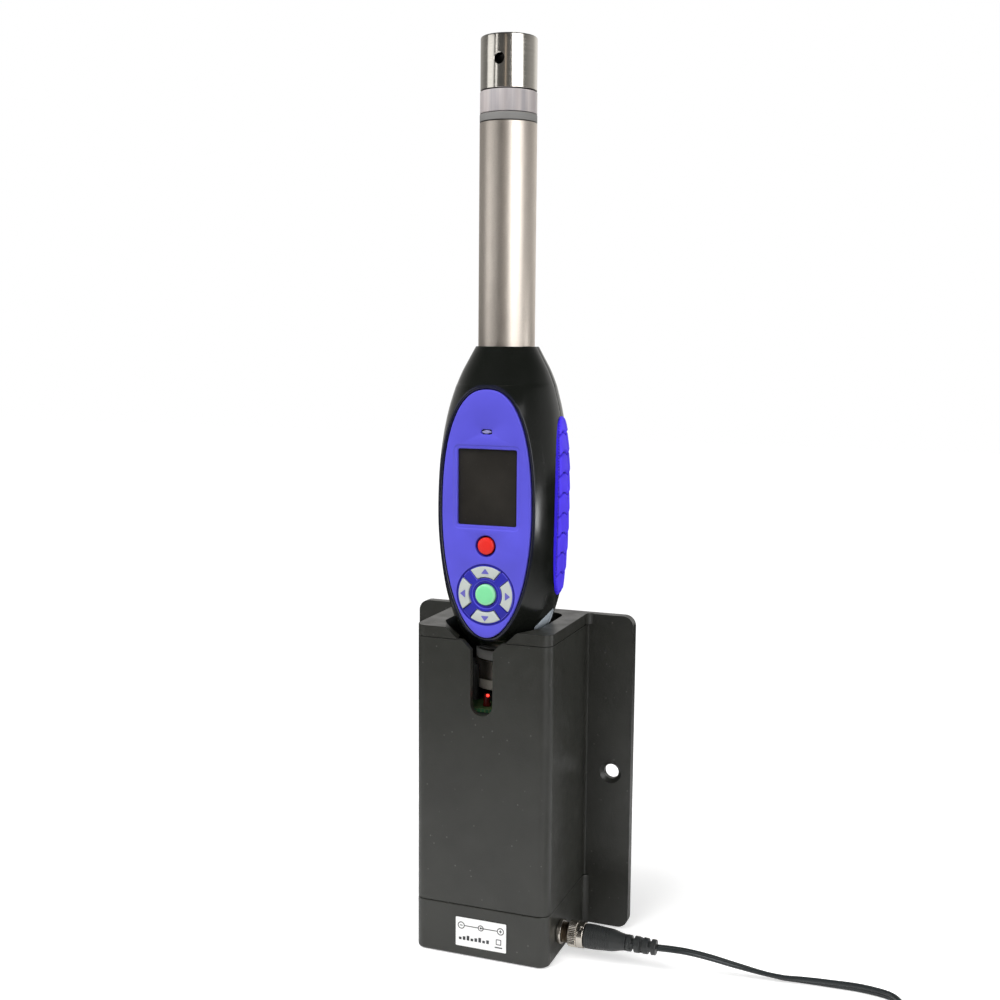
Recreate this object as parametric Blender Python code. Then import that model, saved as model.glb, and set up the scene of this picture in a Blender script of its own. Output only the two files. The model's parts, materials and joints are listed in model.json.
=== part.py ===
"""Slim handheld instrument standing in a wall-mount charging cradle, with its power lead.

Metres, +Z up, the cradle's front faces -Y. The origin is on the underside of the cradle,
where the long axis of the instrument meets it.
"""

import math

import bmesh
import bpy
from mathutils import Matrix, Vector

# ---------------------------------------------------------------- driving dimensions
GAP = 0.0003                      # space left between pieces that touch

# cradle
BOX_HALF_W = 0.0290               # half width of the box, along X
BOX_FRONT = -0.0281               # front face of the box
PLATE_FRONT = 0.0260              # front face of the wall plate
PLATE_BACK = 0.0309               # wall face of the wall plate
PLATE_HALF_W = 0.0541
PLATE_BOTTOM = 0.0004
PLATE_TOP = 0.1511
CORNER_R = 0.0050
BASE_TOP = 0.0239                 # seam between base cap and box
BOX_TOP = 0.1461                  # seam between box and lid
LID_TOP = 0.1514
WALL = 0.0028
FLOOR = 0.0032
WALL_HOLE_X = 0.0443
WALL_HOLE_Z = 0.0758
WALL_HOLE_R = 0.0035
WALL_SINK_R = 0.0052
LID_HOLE_HALF_W = 0.0230
LID_HOLE_FRONT = -0.0205
LID_HOLE_BACK = 0.0212
LID_HOLE_R = 0.0075
NOTCH_HALF_W = (0.0098, 0.0158)   # of the lid's notch, at its foot and just above the lid
NOTCH_SPREAD = 1.45               # how much wider the lid's notch is at its inner end
SLOT_HALF_W = 0.0052
SLOT_SHOULDER = 0.0041            # size of the 45 degree shoulders at the slot's top
SLOT_BOTTOM = 0.1125
TRAY_Z = (0.1099, 0.1127)
BOARD_Z = (0.1130, 0.1146)
GUIDE_R = (0.0131, 0.0158)
CHARGE_LAMP = (-0.0010, -0.0185)
PINS = {"contact_pin_plus": 0.0, "contact_pin_minus": 0.0075}               # their X
BASE_SCREWS = [(-0.0218, -0.0212), (0.0218, -0.0212), (-0.0218, 0.0195), (0.0218, 0.0195)]
LABEL_X = (-0.0115, 0.0129)
LABEL_Z = (0.0048, 0.0183)

# instrument
TAIL_END = 0.1200                 # lowest face of the instrument
TUBE_R = 0.0127                   # one-inch tube
SHAFT_Z = (0.2600, 0.3719)
GREY_Z = (0.3722, 0.3754)
LIGHT_Z = (0.3757, 0.3851)
COLLAR_Z = (0.3856, 0.4083)
COLLAR_BORE_R = 0.0080
COLLAR_HOLE_Z = 0.3977
COLLAR_HOLE_R = 0.00225
PARTING = 0.0015                  # Y of the plane where the two shells meet
SHELL_T = 0.0020
FACE_T = 0.0032                   # thickness of the shell behind the fascia
FASCIA_MID = 0.2030               # height where the fascia is widest
FASCIA_HALF_W = 0.0208
FASCIA_UP = 0.0535
FASCIA_DOWN = 0.0560
FASCIA_Y = (-0.0240, -0.0223)
RIM = 0.0020                      # shell rim outside the fascia
SCREEN = (-0.0137, 0.0139, 0.1970, 0.2306)
PAD_Z = 0.1664
KEY_R = (0.0079, 0.0127)
KEY_HALF_ANGLE = math.radians(33)
KEYS = {"key_right": 0, "key_up": 90, "key_left": 180, "key_down": 270}     # degrees
ENTER_R = 0.0047
STOP_Z = 0.1881
STOP_R = 0.0038
KEY_BACK = -0.0206
LAMP_Z = 0.2382
SHELL_SCREWS = [(-0.0190, 0.1830), (0.0190, 0.1830), (-0.0190, 0.2320), (0.0190, 0.2320)]
HEAD_SEAT = 0.0125                # Y of the seat under the casing screws' heads
GRIP_Z = (0.1636, 0.2447)
GRIP_HALF_D = 0.0125
GRIP_T = 0.0009

# stations of the body: height, half width, front depth, back depth
BODY = [
    (0.1390, 0.0126, 0.0126, 0.0126),
    (0.1415, 0.0150, 0.0170, 0.0150),
    (0.1450, 0.0180, 0.0212, 0.0172),
    (0.1500, 0.0206, 0.0234, 0.0190),
    (0.1570, 0.0231, 0.0234, 0.0206),
    (0.1680, 0.0257, 0.0234, 0.0222),
    (0.1860, 0.0273, 0.0234, 0.0232),
    (0.2080, 0.0279, 0.0234, 0.0236),
    (0.2280, 0.0275, 0.0234, 0.0232),
    (0.2450, 0.0254, 0.0234, 0.0222),
    (0.2570, 0.0226, 0.0230, 0.0203),
    (0.2650, 0.0190, 0.0196, 0.0178),
    (0.2710, 0.0158, 0.0162, 0.0154),
    (0.2750, 0.0139, 0.0140, 0.0139),
]

# power socket and lead, along +X
LEAD_Y = -0.0108
LEAD_Z = 0.0112
RELIEF_BLOCKS = [(0.0640, 0.0690, 0.0038), (0.0697, 0.0744, 0.0037), (0.0751, 0.0774, 0.0033)]
CORD_R = 0.00105
CORD_ROUTE = [
    (0.0777, -0.0108, 0.0112), (0.0840, -0.0102, 0.0113), (0.0915, -0.0082, 0.0104),
    (0.1005, -0.0055, 0.0083), (0.1125, -0.0022, 0.0050), (0.1250, 0.0000, 0.0025),
    (0.1385, 0.0017, 0.00125), (0.1520, 0.0026, 0.00110), (0.1650, 0.0030, 0.00110),
    (0.1765, 0.0006, 0.00110), (0.1815, -0.0048, 0.00110), (0.1843, -0.0120, 0.00110),
    (0.1855, -0.0205, 0.00110), (0.1859, -0.0300, 0.00110), (0.1860, -0.0400, 0.00110),
    (0.1860, -0.0500, 0.00110),
]
COIL_CENTRE = (0.1560, -0.0597)
COIL_R = (0.0135, 0.0292)
COIL_H = 0.0085
END_ROUTE = [
    (0.1540, -0.0905, 0.00110), (0.1470, -0.0902, 0.00110), (0.1400, -0.0882, 0.00110),
    (0.1340, -0.0853, 0.00110), (0.1288, -0.0838, 0.00110),
]
USB_Y = -0.0838                   # the far plug lies along X
USB_BODY_X = (0.1025, 0.1282)
USB_TIP_X = (0.0838, 0.1022)
USB_HALF_W = 0.0078
USB_TIP_HALF_W = 0.0060
USB_TIP_Z = (0.0017, 0.0062)


# ---------------------------------------------------------------- helpers
def clear_scene():
    for obj in list(bpy.data.objects):
        bpy.data.objects.remove(obj, do_unlink=True)


def material(name, colour, roughness, metallic=0.0):
    mat = bpy.data.materials.new(name)
    mat.use_nodes = True
    shader = mat.node_tree.nodes["Principled BSDF"]
    shader.inputs["Base Color"].default_value = (*colour, 1.0)
    shader.inputs["Roughness"].default_value = roughness
    shader.inputs["Metallic"].default_value = metallic
    return mat


def finish_mesh(name, bm, mat, origin=(0, 0, 0), holder=None):
    """Turn a bmesh in world coordinates into an object whose origin is at origin."""
    bmesh.ops.recalc_face_normals(bm, faces=bm.faces)
    mesh = bpy.data.meshes.new(name)
    bm.to_mesh(mesh)
    bm.free()
    mesh.transform(Matrix.Translation(-Vector(origin)))
    mesh.shade_smooth()
    mesh.set_sharp_from_angle(angle=math.radians(35))
    if mat:
        mesh.materials.append(mat)
    obj = bpy.data.objects.new(name, mesh)
    bpy.context.scene.collection.objects.link(obj)
    obj.location = origin
    if holder:
        obj.parent = holder
        obj.location = Vector(origin) - holder.location
    return obj


def empty(name, place):
    obj = bpy.data.objects.new(name, None)
    bpy.context.scene.collection.objects.link(obj)
    obj.location = place
    return obj


def cutter(name, bm):
    obj = finish_mesh(name, bm, None)
    obj.hide_render = True
    obj.display_type = "WIRE"
    return obj


def boolean(obj, other, operation):
    mod = obj.modifiers.new(other.name, "BOOLEAN")
    mod.operation = operation
    mod.object = other
    mod.solver = "EXACT"


def cut(obj, *tools):
    for tool in tools:
        boolean(obj, tool, "DIFFERENCE")


def join(obj, *tools):
    for tool in tools:
        boolean(obj, tool, "UNION")


def to_world(axis, u, v, w):
    """u and v lie in the outline's plane, and w is along the extrusion axis."""
    if axis == "X":
        return (w, u, v)
    if axis == "Y":
        return (u, w, v)
    return (u, v, w)


def slab(outline, axis, low, high, holes=()):
    """Extrude a flat outline, with optional holes, from low to high along axis."""
    bm = bmesh.new()
    for loop in (outline, *holes):
        verts = [bm.verts.new(to_world(axis, u, v, low)) for u, v in loop]
        for a, b in zip(verts, verts[1:] + verts[:1]):
            bm.edges.new((a, b))
    bmesh.ops.triangle_fill(bm, use_beauty=True, use_dissolve=False, edges=bm.edges[:])
    faces = bmesh.ops.extrude_face_region(bm, geom=bm.faces[:])["geom"]
    moved = [g for g in faces if isinstance(g, bmesh.types.BMVert)]
    shift = Vector(to_world(axis, 0, 0, high - low))
    bmesh.ops.translate(bm, vec=shift, verts=moved)
    return bm


def turned(profile, segments, axis="Z", centre=(0, 0, 0)):
    """Revolve a closed (radius, height) outline about an axis; radius 0 gives a pole."""
    bm = bmesh.new()
    rings = []
    for radius, height in profile:
        count = segments if radius > 0 else 1
        ring = []
        for i in range(count):
            angle = 2 * math.pi * (i + 0.5) / segments
            u = radius * math.cos(angle)
            v = radius * math.sin(angle)
            ring.append(bm.verts.new(to_world(axis, u, v, height)))
        rings.append(ring)
    for a, b in zip(rings, rings[1:] + rings[:1]):
        if len(a) == len(b) == 1:
            continue
        for i in range(segments):
            j = (i + 1) % segments
            corners = [a[i % len(a)], a[j % len(a)], b[j % len(b)], b[i % len(b)]]
            bm.faces.new(dict.fromkeys(corners))
    bmesh.ops.translate(bm, vec=Vector(centre), verts=bm.verts)
    return bm


def box(x, y, z):
    outline = [(x[0], y[0]), (x[1], y[0]), (x[1], y[1]), (x[0], y[1])]
    return slab(outline, "Z", z[0], z[1])


def arc(cx, cy, radius, start, end, steps):
    """Points on an arc from start to end, in degrees."""
    points = []
    for i in range(steps + 1):
        angle = math.radians(start + (end - start) * i / steps)
        points.append((cx + radius * math.cos(angle), cy + radius * math.sin(angle)))
    return points


def circle(cx, cy, radius, steps=24):
    return arc(cx, cy, radius, 0, 360, steps)[:-1]


def rounded_rect(x0, x1, y0, y1, radius, steps=4):
    return (
        arc(x1 - radius, y1 - radius, radius, 0, 90, steps)
        + arc(x0 + radius, y1 - radius, radius, 90, 180, steps)
        + arc(x0 + radius, y0 + radius, radius, 180, 270, steps)
        + arc(x1 - radius, y0 + radius, radius, 270, 360, steps)
    )


def power(base, exponent):
    return max(base, 0.0) ** exponent


# ---------------------------------------------------------------- shape of the body
def oval_half_width(z, grow):
    """Half width of the fascia's oval at height z, grown outwards by grow."""
    up = z >= FASCIA_MID
    reach = (FASCIA_UP if up else FASCIA_DOWN) + grow
    exponent = 2.35 if up else 2.0
    part = abs(z - FASCIA_MID) / reach
    return (FASCIA_HALF_W + grow) * power(1 - part**exponent, 1 / exponent)


def oval(grow, steps=14):
    """The fascia's outline in X and Z, grown outwards by grow."""
    right = []
    for i in range(steps * 2 + 1):
        angle = math.pi * (i / (steps * 2) - 0.5)
        reach = (FASCIA_UP if angle >= 0 else FASCIA_DOWN) + grow
        z = FASCIA_MID + reach * math.sin(angle)
        right.append((oval_half_width(z, grow), z))
    left = [(-x, z) for x, z in reversed(right[1:-1])]
    return right + left


def body_form(z):
    """Half width, front depth and back depth at height z, on a smooth curve."""
    heights = [row[0] for row in BODY]
    z = min(max(z, heights[0]), heights[-1])
    i = max(k for k in range(len(BODY) - 1) if heights[k] <= z)
    low, high = BODY[i], BODY[i + 1]
    before, after = BODY[max(i - 1, 0)], BODY[min(i + 2, len(BODY) - 1)]
    span = high[0] - low[0]
    t = (z - low[0]) / span
    form = []
    for k in (1, 2, 3):
        slope_low = (high[k] - before[k]) / (high[0] - before[0]) * span
        slope_high = (after[k] - low[k]) / (after[0] - low[0]) * span
        form.append(
            (2 * t**3 - 3 * t**2 + 1) * low[k]
            + (t**3 - 2 * t**2 + t) * slope_low
            + (3 * t**2 - 2 * t**3) * high[k]
            + (t**3 - t**2) * slope_high
        )
    return form


def body_section(z, front, inset=0.0, steps=7):
    """Half of the body's cross-section, from +X round to -X, for one of the shells."""
    half_w, depth_front, depth_back = body_form(z)
    core = 0.0134 if z > FASCIA_MID else 0.0109
    depth = depth_front if front else depth_back
    flat = max(oval_half_width(z, RIM), 0.0004) if front else 0.0
    exponent = 2.0 - 0.4 * flat / (FASCIA_HALF_W + RIM) if front else 2.2
    if inset:
        half_w = max(half_w - inset, core)
        depth = max(depth - (FACE_T if front and flat > 0.005 else inset), core)
        flat = max(flat - inset, 0.0004) if front else 0.0
    reach = depth + PARTING if front else depth - PARTING
    sign = -1 if front else 1
    right = []
    for i in range(steps + 1):
        angle = 0.5 * math.pi * i / steps
        x = flat + (half_w - flat) * power(math.cos(angle), 2 / exponent)
        y = PARTING + sign * (GAP / 2 + (reach - GAP / 2) * power(math.sin(angle), 2 / exponent))
        right.append((x, y))
    if not front:
        right = right[:-1] + [(0.0, right[-1][1])]
        left = [(-x, y) for x, y in reversed(right[:-1])]
    else:
        left = [(-x, y) for x, y in reversed(right)]
    return right + left


def surface_x(z, y):
    """Half width of the body's outer surface at height z and depth y."""
    half_w, depth_front, depth_back = body_form(z)
    front = y < PARTING
    flat = max(oval_half_width(z, RIM), 0.0004) if front else 0.0
    exponent = 2.0 - 0.4 * flat / (FASCIA_HALF_W + RIM) if front else 2.2
    reach = depth_front + PARTING if front else depth_back - PARTING
    part = min(abs(y - PARTING) / reach, 1.0)
    return flat + (half_w - flat) * power(1 - part**exponent, 1 / exponent)


def shell(name, front, mat, holder):
    """One half of the casing: a trough with an outer and an inner surface."""
    levels = [row[0] for row in BODY]
    levels += [(a + b) / 2 for a, b in zip(levels, levels[1:]) if b - a > 0.009]
    levels.sort()
    bm = bmesh.new()
    rings = []
    for z in levels:
        outer = [bm.verts.new((x, y, z)) for x, y in body_section(z, front)]
        inner = [bm.verts.new((x, y, z)) for x, y in body_section(z, front, SHELL_T)]
        rings.append((outer, inner))
    count = len(rings[0][0])
    for (o1, i1), (o2, i2) in zip(rings, rings[1:]):
        for k in range(count - 1):
            bm.faces.new((o1[k], o1[k + 1], o2[k + 1], o2[k]))
            bm.faces.new((i1[k], i2[k], i2[k + 1], i1[k + 1]))
        for k in (0, count - 1):
            bm.faces.new((o1[k], o2[k], i2[k], i1[k]))
    for outer, inner in (rings[0], rings[-1]):
        for k in range(count - 1):
            bm.faces.new((outer[k], outer[k + 1], inner[k + 1], inner[k]))
    return finish_mesh(name, bm, mat, holder=holder)


# ---------------------------------------------------------------- cradle
def cradle_outline(inset, back):
    """Footprint of the box: rounded front corners, and a small flare at the wall plate."""
    x = BOX_HALF_W - inset
    y = BOX_FRONT + inset
    r = CORNER_R - inset
    flare = 0.0 if inset else 0.0030
    right = arc(x - r, y + r, r, -90, 0, 4)
    if flare:
        right += arc(x + flare, back - flare, flare, 180, 90, 3)
    else:
        right += [(x, back)]
    left = [(-u, v) for u, v in reversed(right)]
    return right + left


def make_housing(mats):
    back = PLATE_FRONT + 0.0010
    hollow = cradle_outline(WALL, PLATE_FRONT)
    walls = slab(cradle_outline(0, back), "Z", BASE_TOP + GAP, BOX_TOP, [hollow])
    housing = finish_mesh("cradle_housing", walls, mats["cradle_black"])
    plate_outline = rounded_rect(-PLATE_HALF_W, PLATE_HALF_W, PLATE_BOTTOM, PLATE_TOP, CORNER_R)
    tools = [cutter("plate_form", slab(plate_outline, "Y", PLATE_FRONT, PLATE_BACK))]
    inner = BOX_HALF_W - WALL
    for side in (-1, 1):
        ledge_x = sorted((side * (inner - 0.0040), side * (inner + 0.0010)))
        ledge = box(ledge_x, (-0.0200, 0.0200), (0.1040, TRAY_Z[0] - GAP))
        tools.append(cutter(f"ledge_form_{side}", ledge))
    for n, (x, y) in enumerate(BASE_SCREWS):
        post_x = (x - 0.0040, x + 0.0058) if x > 0 else (x - 0.0058, x + 0.0040)
        post_y = (y - 0.0060, y + 0.0040) if y < 0 else (y - 0.0040, y + 0.0075)
        tools.append(cutter(f"post_form_{n}", box(post_x, post_y, (BASE_TOP + GAP, 0.0360))))
    join(housing, *tools)
    slot = [(-SLOT_HALF_W, BOX_TOP - SLOT_SHOULDER), (-SLOT_HALF_W - SLOT_SHOULDER, BOX_TOP)]
    slot.append((-SLOT_HALF_W - SLOT_SHOULDER, BOX_TOP + 0.0040))
    slot += [(-x, z) for x, z in reversed(slot)]
    slot += arc(0, SLOT_BOTTOM + SLOT_HALF_W, SLOT_HALF_W, 0, -180, 8)
    cut(housing, cutter("slot_cut", slab(slot, "Y", -0.0320, -0.0220)))
    for side in (-1, 1):
        profile = [(0, 0.0250), (WALL_SINK_R, 0.0250), (WALL_SINK_R, 0.0262)]
        profile += [(WALL_HOLE_R, 0.0280), (WALL_HOLE_R, 0.0320), (0, 0.0320)]
        hole = turned(profile, 24, "Y", (side * WALL_HOLE_X, 0, WALL_HOLE_Z))
        cut(housing, cutter(f"wall_hole_cut_{side}", hole))
    for n, (x, y) in enumerate(BASE_SCREWS):
        profile = [(0, 0.0200), (0.0016, 0.0200), (0.0016, 0.0345), (0, 0.0345)]
        cut(housing, cutter(f"post_hole_cut_{n}", turned(profile, 12, "Z", (x, y, 0))))


def make_lid(mats):
    opening = rounded_rect(
        -LID_HOLE_HALF_W, LID_HOLE_HALF_W, LID_HOLE_FRONT, LID_HOLE_BACK, LID_HOLE_R, 5
    )
    lid = finish_mesh(
        "cradle_lid",
        slab(cradle_outline(0, PLATE_FRONT - GAP), "Z", BOX_TOP + GAP, LID_TOP, [opening]),
        mats["cradle_black"],
    )
    above = LID_TOP + 0.0006
    low, high = NOTCH_HALF_W
    notch = [(-low, BOX_TOP), (-high, above), (high, above), (low, BOX_TOP)]
    wedge = slab(notch, "Y", -0.0320, -0.0160)
    for vert in wedge.verts:
        if vert.co.y > LID_HOLE_FRONT:
            vert.co.x *= NOTCH_SPREAD
    cut(lid, cutter("notch_cut", wedge))


def make_base(mats):
    cap = finish_mesh(
        "cradle_base_cap",
        slab(cradle_outline(0, PLATE_FRONT - GAP), "Z", 0, BASE_TOP),
        mats["cradle_black"],
    )
    inner = slab(cradle_outline(WALL, PLATE_FRONT - GAP - WALL), "Z", FLOOR, BASE_TOP + 0.0010)
    cut(cap, cutter("base_hollow_cut", inner))
    for n, (x, y) in enumerate(BASE_SCREWS):
        column = circle(x, y, 0.0042, 16)
        join(cap, cutter(f"column_form_{n}", slab(column, "Z", FLOOR - 0.0010, BASE_TOP)))
        profile = [(0, -0.0010), (0.0036, -0.0010), (0.0036, 0.0004), (0.0017, 0.0024)]
        profile += [(0.0017, 0.0300), (0, 0.0300)]
        cut(cap, cutter(f"base_hole_cut_{n}", turned(profile, 16, "Z", (x, y, 0))))
        screw = [(0, 0.0007), (0.0030, 0.0007), (0.0013, 0.0027), (0.0013, 0.0335), (0, 0.0335)]
        name = f"base_screw_{n + 1}"
        finish_mesh(name, turned(screw, 12, "Z", (x, y, 0)), mats["steel"], (x, y, 0))
    profile = [(0, 0.0230), (0.0044, 0.0230), (0.0044, 0.0310), (0, 0.0310)]
    cut(cap, cutter("socket_hole_cut", turned(profile, 20, "X", (0, LEAD_Y, LEAD_Z))))
    label = box(LABEL_X, (BOX_FRONT - GAP - 0.0002, BOX_FRONT - GAP), LABEL_Z)
    finish_mesh("rating_label", label, mats["label"])


def make_well(mats):
    """The tray, board, guide, contacts and lamp that the tail of the instrument stands on."""
    wire_hole = circle(0.0020, 0.0195, 0.0030, 12)
    inner = BOX_HALF_W - WALL - 0.0004
    tray = rounded_rect(-inner, inner, BOX_FRONT + WALL + 0.0004, PLATE_FRONT - 0.0004, 0.0020, 2)
    finish_mesh("well_tray", slab(tray, "Z", *TRAY_Z, [wire_hole]), mats["moulding"])
    board = rounded_rect(-0.0242, 0.0242, -0.0235, 0.0160, 0.0010, 1)
    finish_mesh("charging_board", slab(board, "Z", *BOARD_Z), mats["board"])
    opening = 40
    inner_r, outer_r = GUIDE_R
    guide = arc(0, 0, outer_r, -90 + opening, 270 - opening, 20)
    guide += arc(0, 0, inner_r, 270 - opening, -90 + opening, 20)
    finish_mesh("tail_guide", slab(guide, "Z", BOARD_Z[1] + GAP, 0.1310), mats["moulding"])
    holes = [circle(x, 0, 0.0014, 10) for x in PINS.values()]
    block = slab(circle(0, 0, 0.0104, 24), "Z", BOARD_Z[1] + GAP, 0.1182, holes)
    finish_mesh("contact_block", block, mats["moulding"])
    for name, x in PINS.items():
        profile = [(0, 0.1164), (0.0010, 0.1164), (0.0010, 0.1193), (0.0006, 0.1197), (0, 0.1197)]
        finish_mesh(name, turned(profile, 10, "Z", (x, 0, 0)), mats["gold"], (x, 0, 0.1180))
    lamp = [(0, BOARD_Z[1] + GAP), (0.0018, BOARD_Z[1] + GAP), (0.0018, 0.1158), (0.0015, 0.1158)]
    lamp += [(0.0015, 0.1191), (0.0011, 0.1201), (0, 0.1205)]
    finish_mesh("charge_lamp", turned(lamp, 12, "Z", (*CHARGE_LAMP, 0)), mats["red_lens"])


# ---------------------------------------------------------------- socket and lead
def smooth_line(points, step):
    """Points about step apart on a smooth curve through the given points."""
    points = [Vector(p) for p in points]
    line = [points[0]]
    for i in range(len(points) - 1):
        p0 = points[max(i - 1, 0)]
        p1 = points[i]
        p2 = points[i + 1]
        p3 = points[min(i + 2, len(points) - 1)]
        count = max(1, round((p2 - p1).length / step))
        for k in range(1, count + 1):
            t = k / count
            tangent_1 = (p2 - p0) / 2
            tangent_2 = (p3 - p1) / 2
            line.append(
                (2 * t**3 - 3 * t**2 + 1) * p1
                + (t**3 - 2 * t**2 + t) * tangent_1
                + (3 * t**2 - 2 * t**3) * p2
                + (t**3 - t**2) * tangent_2
            )
    return line


def tube_curve(name, points, radius, mat, resolution=2):
    curve = bpy.data.curves.new(name, "CURVE")
    curve.dimensions = "3D"
    curve.bevel_depth = radius
    curve.bevel_resolution = resolution
    curve.use_fill_caps = True
    spline = curve.splines.new("POLY")
    spline.points.add(len(points) - 1)
    for point, place in zip(spline.points, points):
        point.co = (*place, 1.0)
    curve.materials.append(mat)
    obj = bpy.data.objects.new(name, curve)
    bpy.context.scene.collection.objects.link(obj)
    return obj


def make_socket(mats):
    axis = (0, LEAD_Y, LEAD_Z)
    socket = [
        (0, 0.0140), (0.0040, 0.0140), (0.0040, BOX_HALF_W + GAP), (0.0055, BOX_HALF_W + GAP),
        (0.0055, 0.0312), (0.0050, 0.0314), (0.0050, 0.0369), (0.0041, 0.0371), (0.0041, 0.0405),
        (0.0031, 0.0405), (0.0031, 0.0265), (0.0010, 0.0265), (0.0010, 0.0385), (0, 0.0390),
    ]
    finish_mesh("dc_socket", turned(socket, 24, "X", axis), mats["nickel"])
    nut = [(u + LEAD_Y, v + LEAD_Z) for u, v in circle(0, 0, 0.0056, 6)]
    hole = [(u + LEAD_Y, v + LEAD_Z) for u, v in circle(0, 0, 0.0043, 20)]
    inside = BOX_HALF_W - WALL - GAP
    finish_mesh("socket_nut", slab(nut, "X", inside - 0.0025, inside, [hole]), mats["nickel"])
    harness = [
        (0.0136, LEAD_Y, LEAD_Z), (0.0070, LEAD_Y, 0.0125), (0.0020, -0.0080, 0.0220),
        (0.0000, 0.0020, 0.0450), (0.0005, 0.0120, 0.0750), (0.0020, 0.0185, 0.0980),
        (0.0020, 0.0195, 0.1100), (0.0020, 0.0195, 0.1165),
    ]
    tube_curve("power_harness", smooth_line(harness, 0.0060), 0.0013, mats["wire"])


def make_lead(mats):
    axis = (0, LEAD_Y, LEAD_Z)
    barrel = [(0.0014, 0.0272), (0.0026, 0.0272), (0.0026, 0.0416), (0.0014, 0.0416)]
    finish_mesh("plug_barrel", turned(barrel, 20, "X", axis), mats["nickel"])
    plug = [
        (0, 0.0419), (0.0040, 0.0419), (0.0040, 0.0447), (0.0053, 0.0450), (0.0054, 0.0500),
        (0.0051, 0.0560), (0.0044, 0.0610), (0.0036, 0.0637), (0, 0.0637),
    ]
    finish_mesh("plug_body", turned(plug, 24, "X", axis), mats["plug_black"])
    ring = [
        (0.0046, 0.0374), (0.0058, 0.0374), (0.0060, 0.0377), (0.0060, 0.0412), (0.0057, 0.0415),
        (0.0057, 0.0443), (0.0054, 0.0446), (0.0044, 0.0446), (0.0044, 0.0440), (0.0046, 0.0436),
    ]
    finish_mesh("lock_ring", turned(ring, 24, "X", axis), mats["nickel"], (0.0410, LEAD_Y, LEAD_Z))
    relief = [(0, 0.0640)]
    for low, high, radius in RELIEF_BLOCKS:
        relief += [(radius, low), (radius, high)]
        relief += [(0.0021, high), (0.0021, high + 0.0007)] if high < 0.0770 else []
    relief += [(0, 0.0774)]
    finish_mesh("strain_relief", turned(relief, 16, "X", axis), mats["plug_black"])
    tube_curve("lead_cord", smooth_line(CORD_ROUTE, 0.0048), CORD_R, mats["plug_black"])
    coil = [(COIL_R[0], 0), (COIL_R[1], 0), (COIL_R[1], COIL_H), (COIL_R[0], COIL_H)]
    finish_mesh("lead_coil", turned(coil, 32, "Z", (*COIL_CENTRE, 0)), mats["plug_black"])
    tube_curve("lead_cord_end", smooth_line(END_ROUTE, 0.0048), CORD_R, mats["plug_black"])
    body = rounded_rect(*USB_BODY_X, USB_Y - USB_HALF_W, USB_Y + USB_HALF_W, 0.0020, 3)
    finish_mesh("usb_plug_body", slab(body, "Z", 0, 0.0078), mats["plug_black"])
    tip_y = (USB_Y - USB_TIP_HALF_W, USB_Y + USB_TIP_HALF_W)
    tip = finish_mesh("usb_plug_tip", box(USB_TIP_X, tip_y, USB_TIP_Z), mats["nickel"])
    wall = 0.0005
    space_y = (tip_y[0] + wall, tip_y[1] - wall)
    space = box((USB_TIP_X[0] - wall, USB_TIP_X[1] - 0.0027), space_y, (USB_TIP_Z[0] + wall, 0.0039))
    cut(tip, cutter("usb_space_cut", space))


# ---------------------------------------------------------------- instrument
def make_shells(mats, holder):
    front = shell("front_shell", True, mats["shell_black"], holder)
    rear = shell("rear_shell", False, mats["shell_black"], holder)
    for n, (x, z) in enumerate(SHELL_SCREWS):
        reach = {front: (-0.0190, PARTING - GAP / 2), rear: (PARTING + GAP / 2, 0.0150)}
        for obj, (low, high) in reach.items():
            profile = [(0, low), (0.0026, low), (0.0026, high), (0, high)]
            boss = turned(profile, 14, "Y", (x, 0, z))
            join(obj, cutter(f"boss_form_{obj.name}_{n}", boss))
        hole = [(0, -0.0140), (0.0013, -0.0140), (0.0013, HEAD_SEAT - GAP), (0.0024, HEAD_SEAT - GAP)]
        hole += [(0.0024, 0.0300), (0, 0.0300)]
        tool = cutter(f"boss_cut_{n}", turned(hole, 12, "Y", (x, 0, z)))
        cut(front, tool)
        cut(rear, tool)
        screw = [(0, -0.0120), (0.0010, -0.0120), (0.0010, HEAD_SEAT), (0.0020, HEAD_SEAT)]
        screw += [(0.0020, 0.0141), (0, 0.0143)]
        name = f"shell_screw_{n + 1}"
        finish_mesh(name, turned(screw, 12, "Y", (x, 0, z)), mats["steel"], (x, 0, z), holder)
    pocket = slab(oval(GAP), "Y", -0.0260, FASCIA_Y[1] + GAP)
    x0, x1, z0, z1 = SCREEN
    window = rounded_rect(x0 - 0.0010, x1 + 0.0010, z0 - 0.0010, z1 + 0.0010, 0.0015, 2)
    cut(front, cutter("fascia_pocket_cut", pocket))
    cut(front, cutter("window_cut", slab(window, "Y", -0.0250, -0.0150)))
    cut(front, cutter("pad_cut", slab(circle(0, PAD_Z, 0.0131, 24), "Y", -0.0250, -0.0150)))
    cut(front, cutter("stop_cut", slab(circle(0, STOP_Z, 0.0046, 16), "Y", -0.0250, -0.0150)))


def key_outline(turn, grow=0.0):
    """One of the four arc-shaped keys, as an outline in X and Z about the pad's centre."""
    half = math.degrees(KEY_HALF_ANGLE)
    inner = KEY_R[0] - grow
    outer = KEY_R[1] + grow
    inner_half = half - 4 + math.degrees(grow / inner)
    outer_half = half + math.degrees(grow / outer)
    points = arc(0, 0, outer, turn - outer_half, turn + outer_half, 8)
    points += arc(0, 0, inner, turn + inner_half, turn - inner_half, 6)
    return [(x, z + PAD_Z) for x, z in points]


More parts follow.
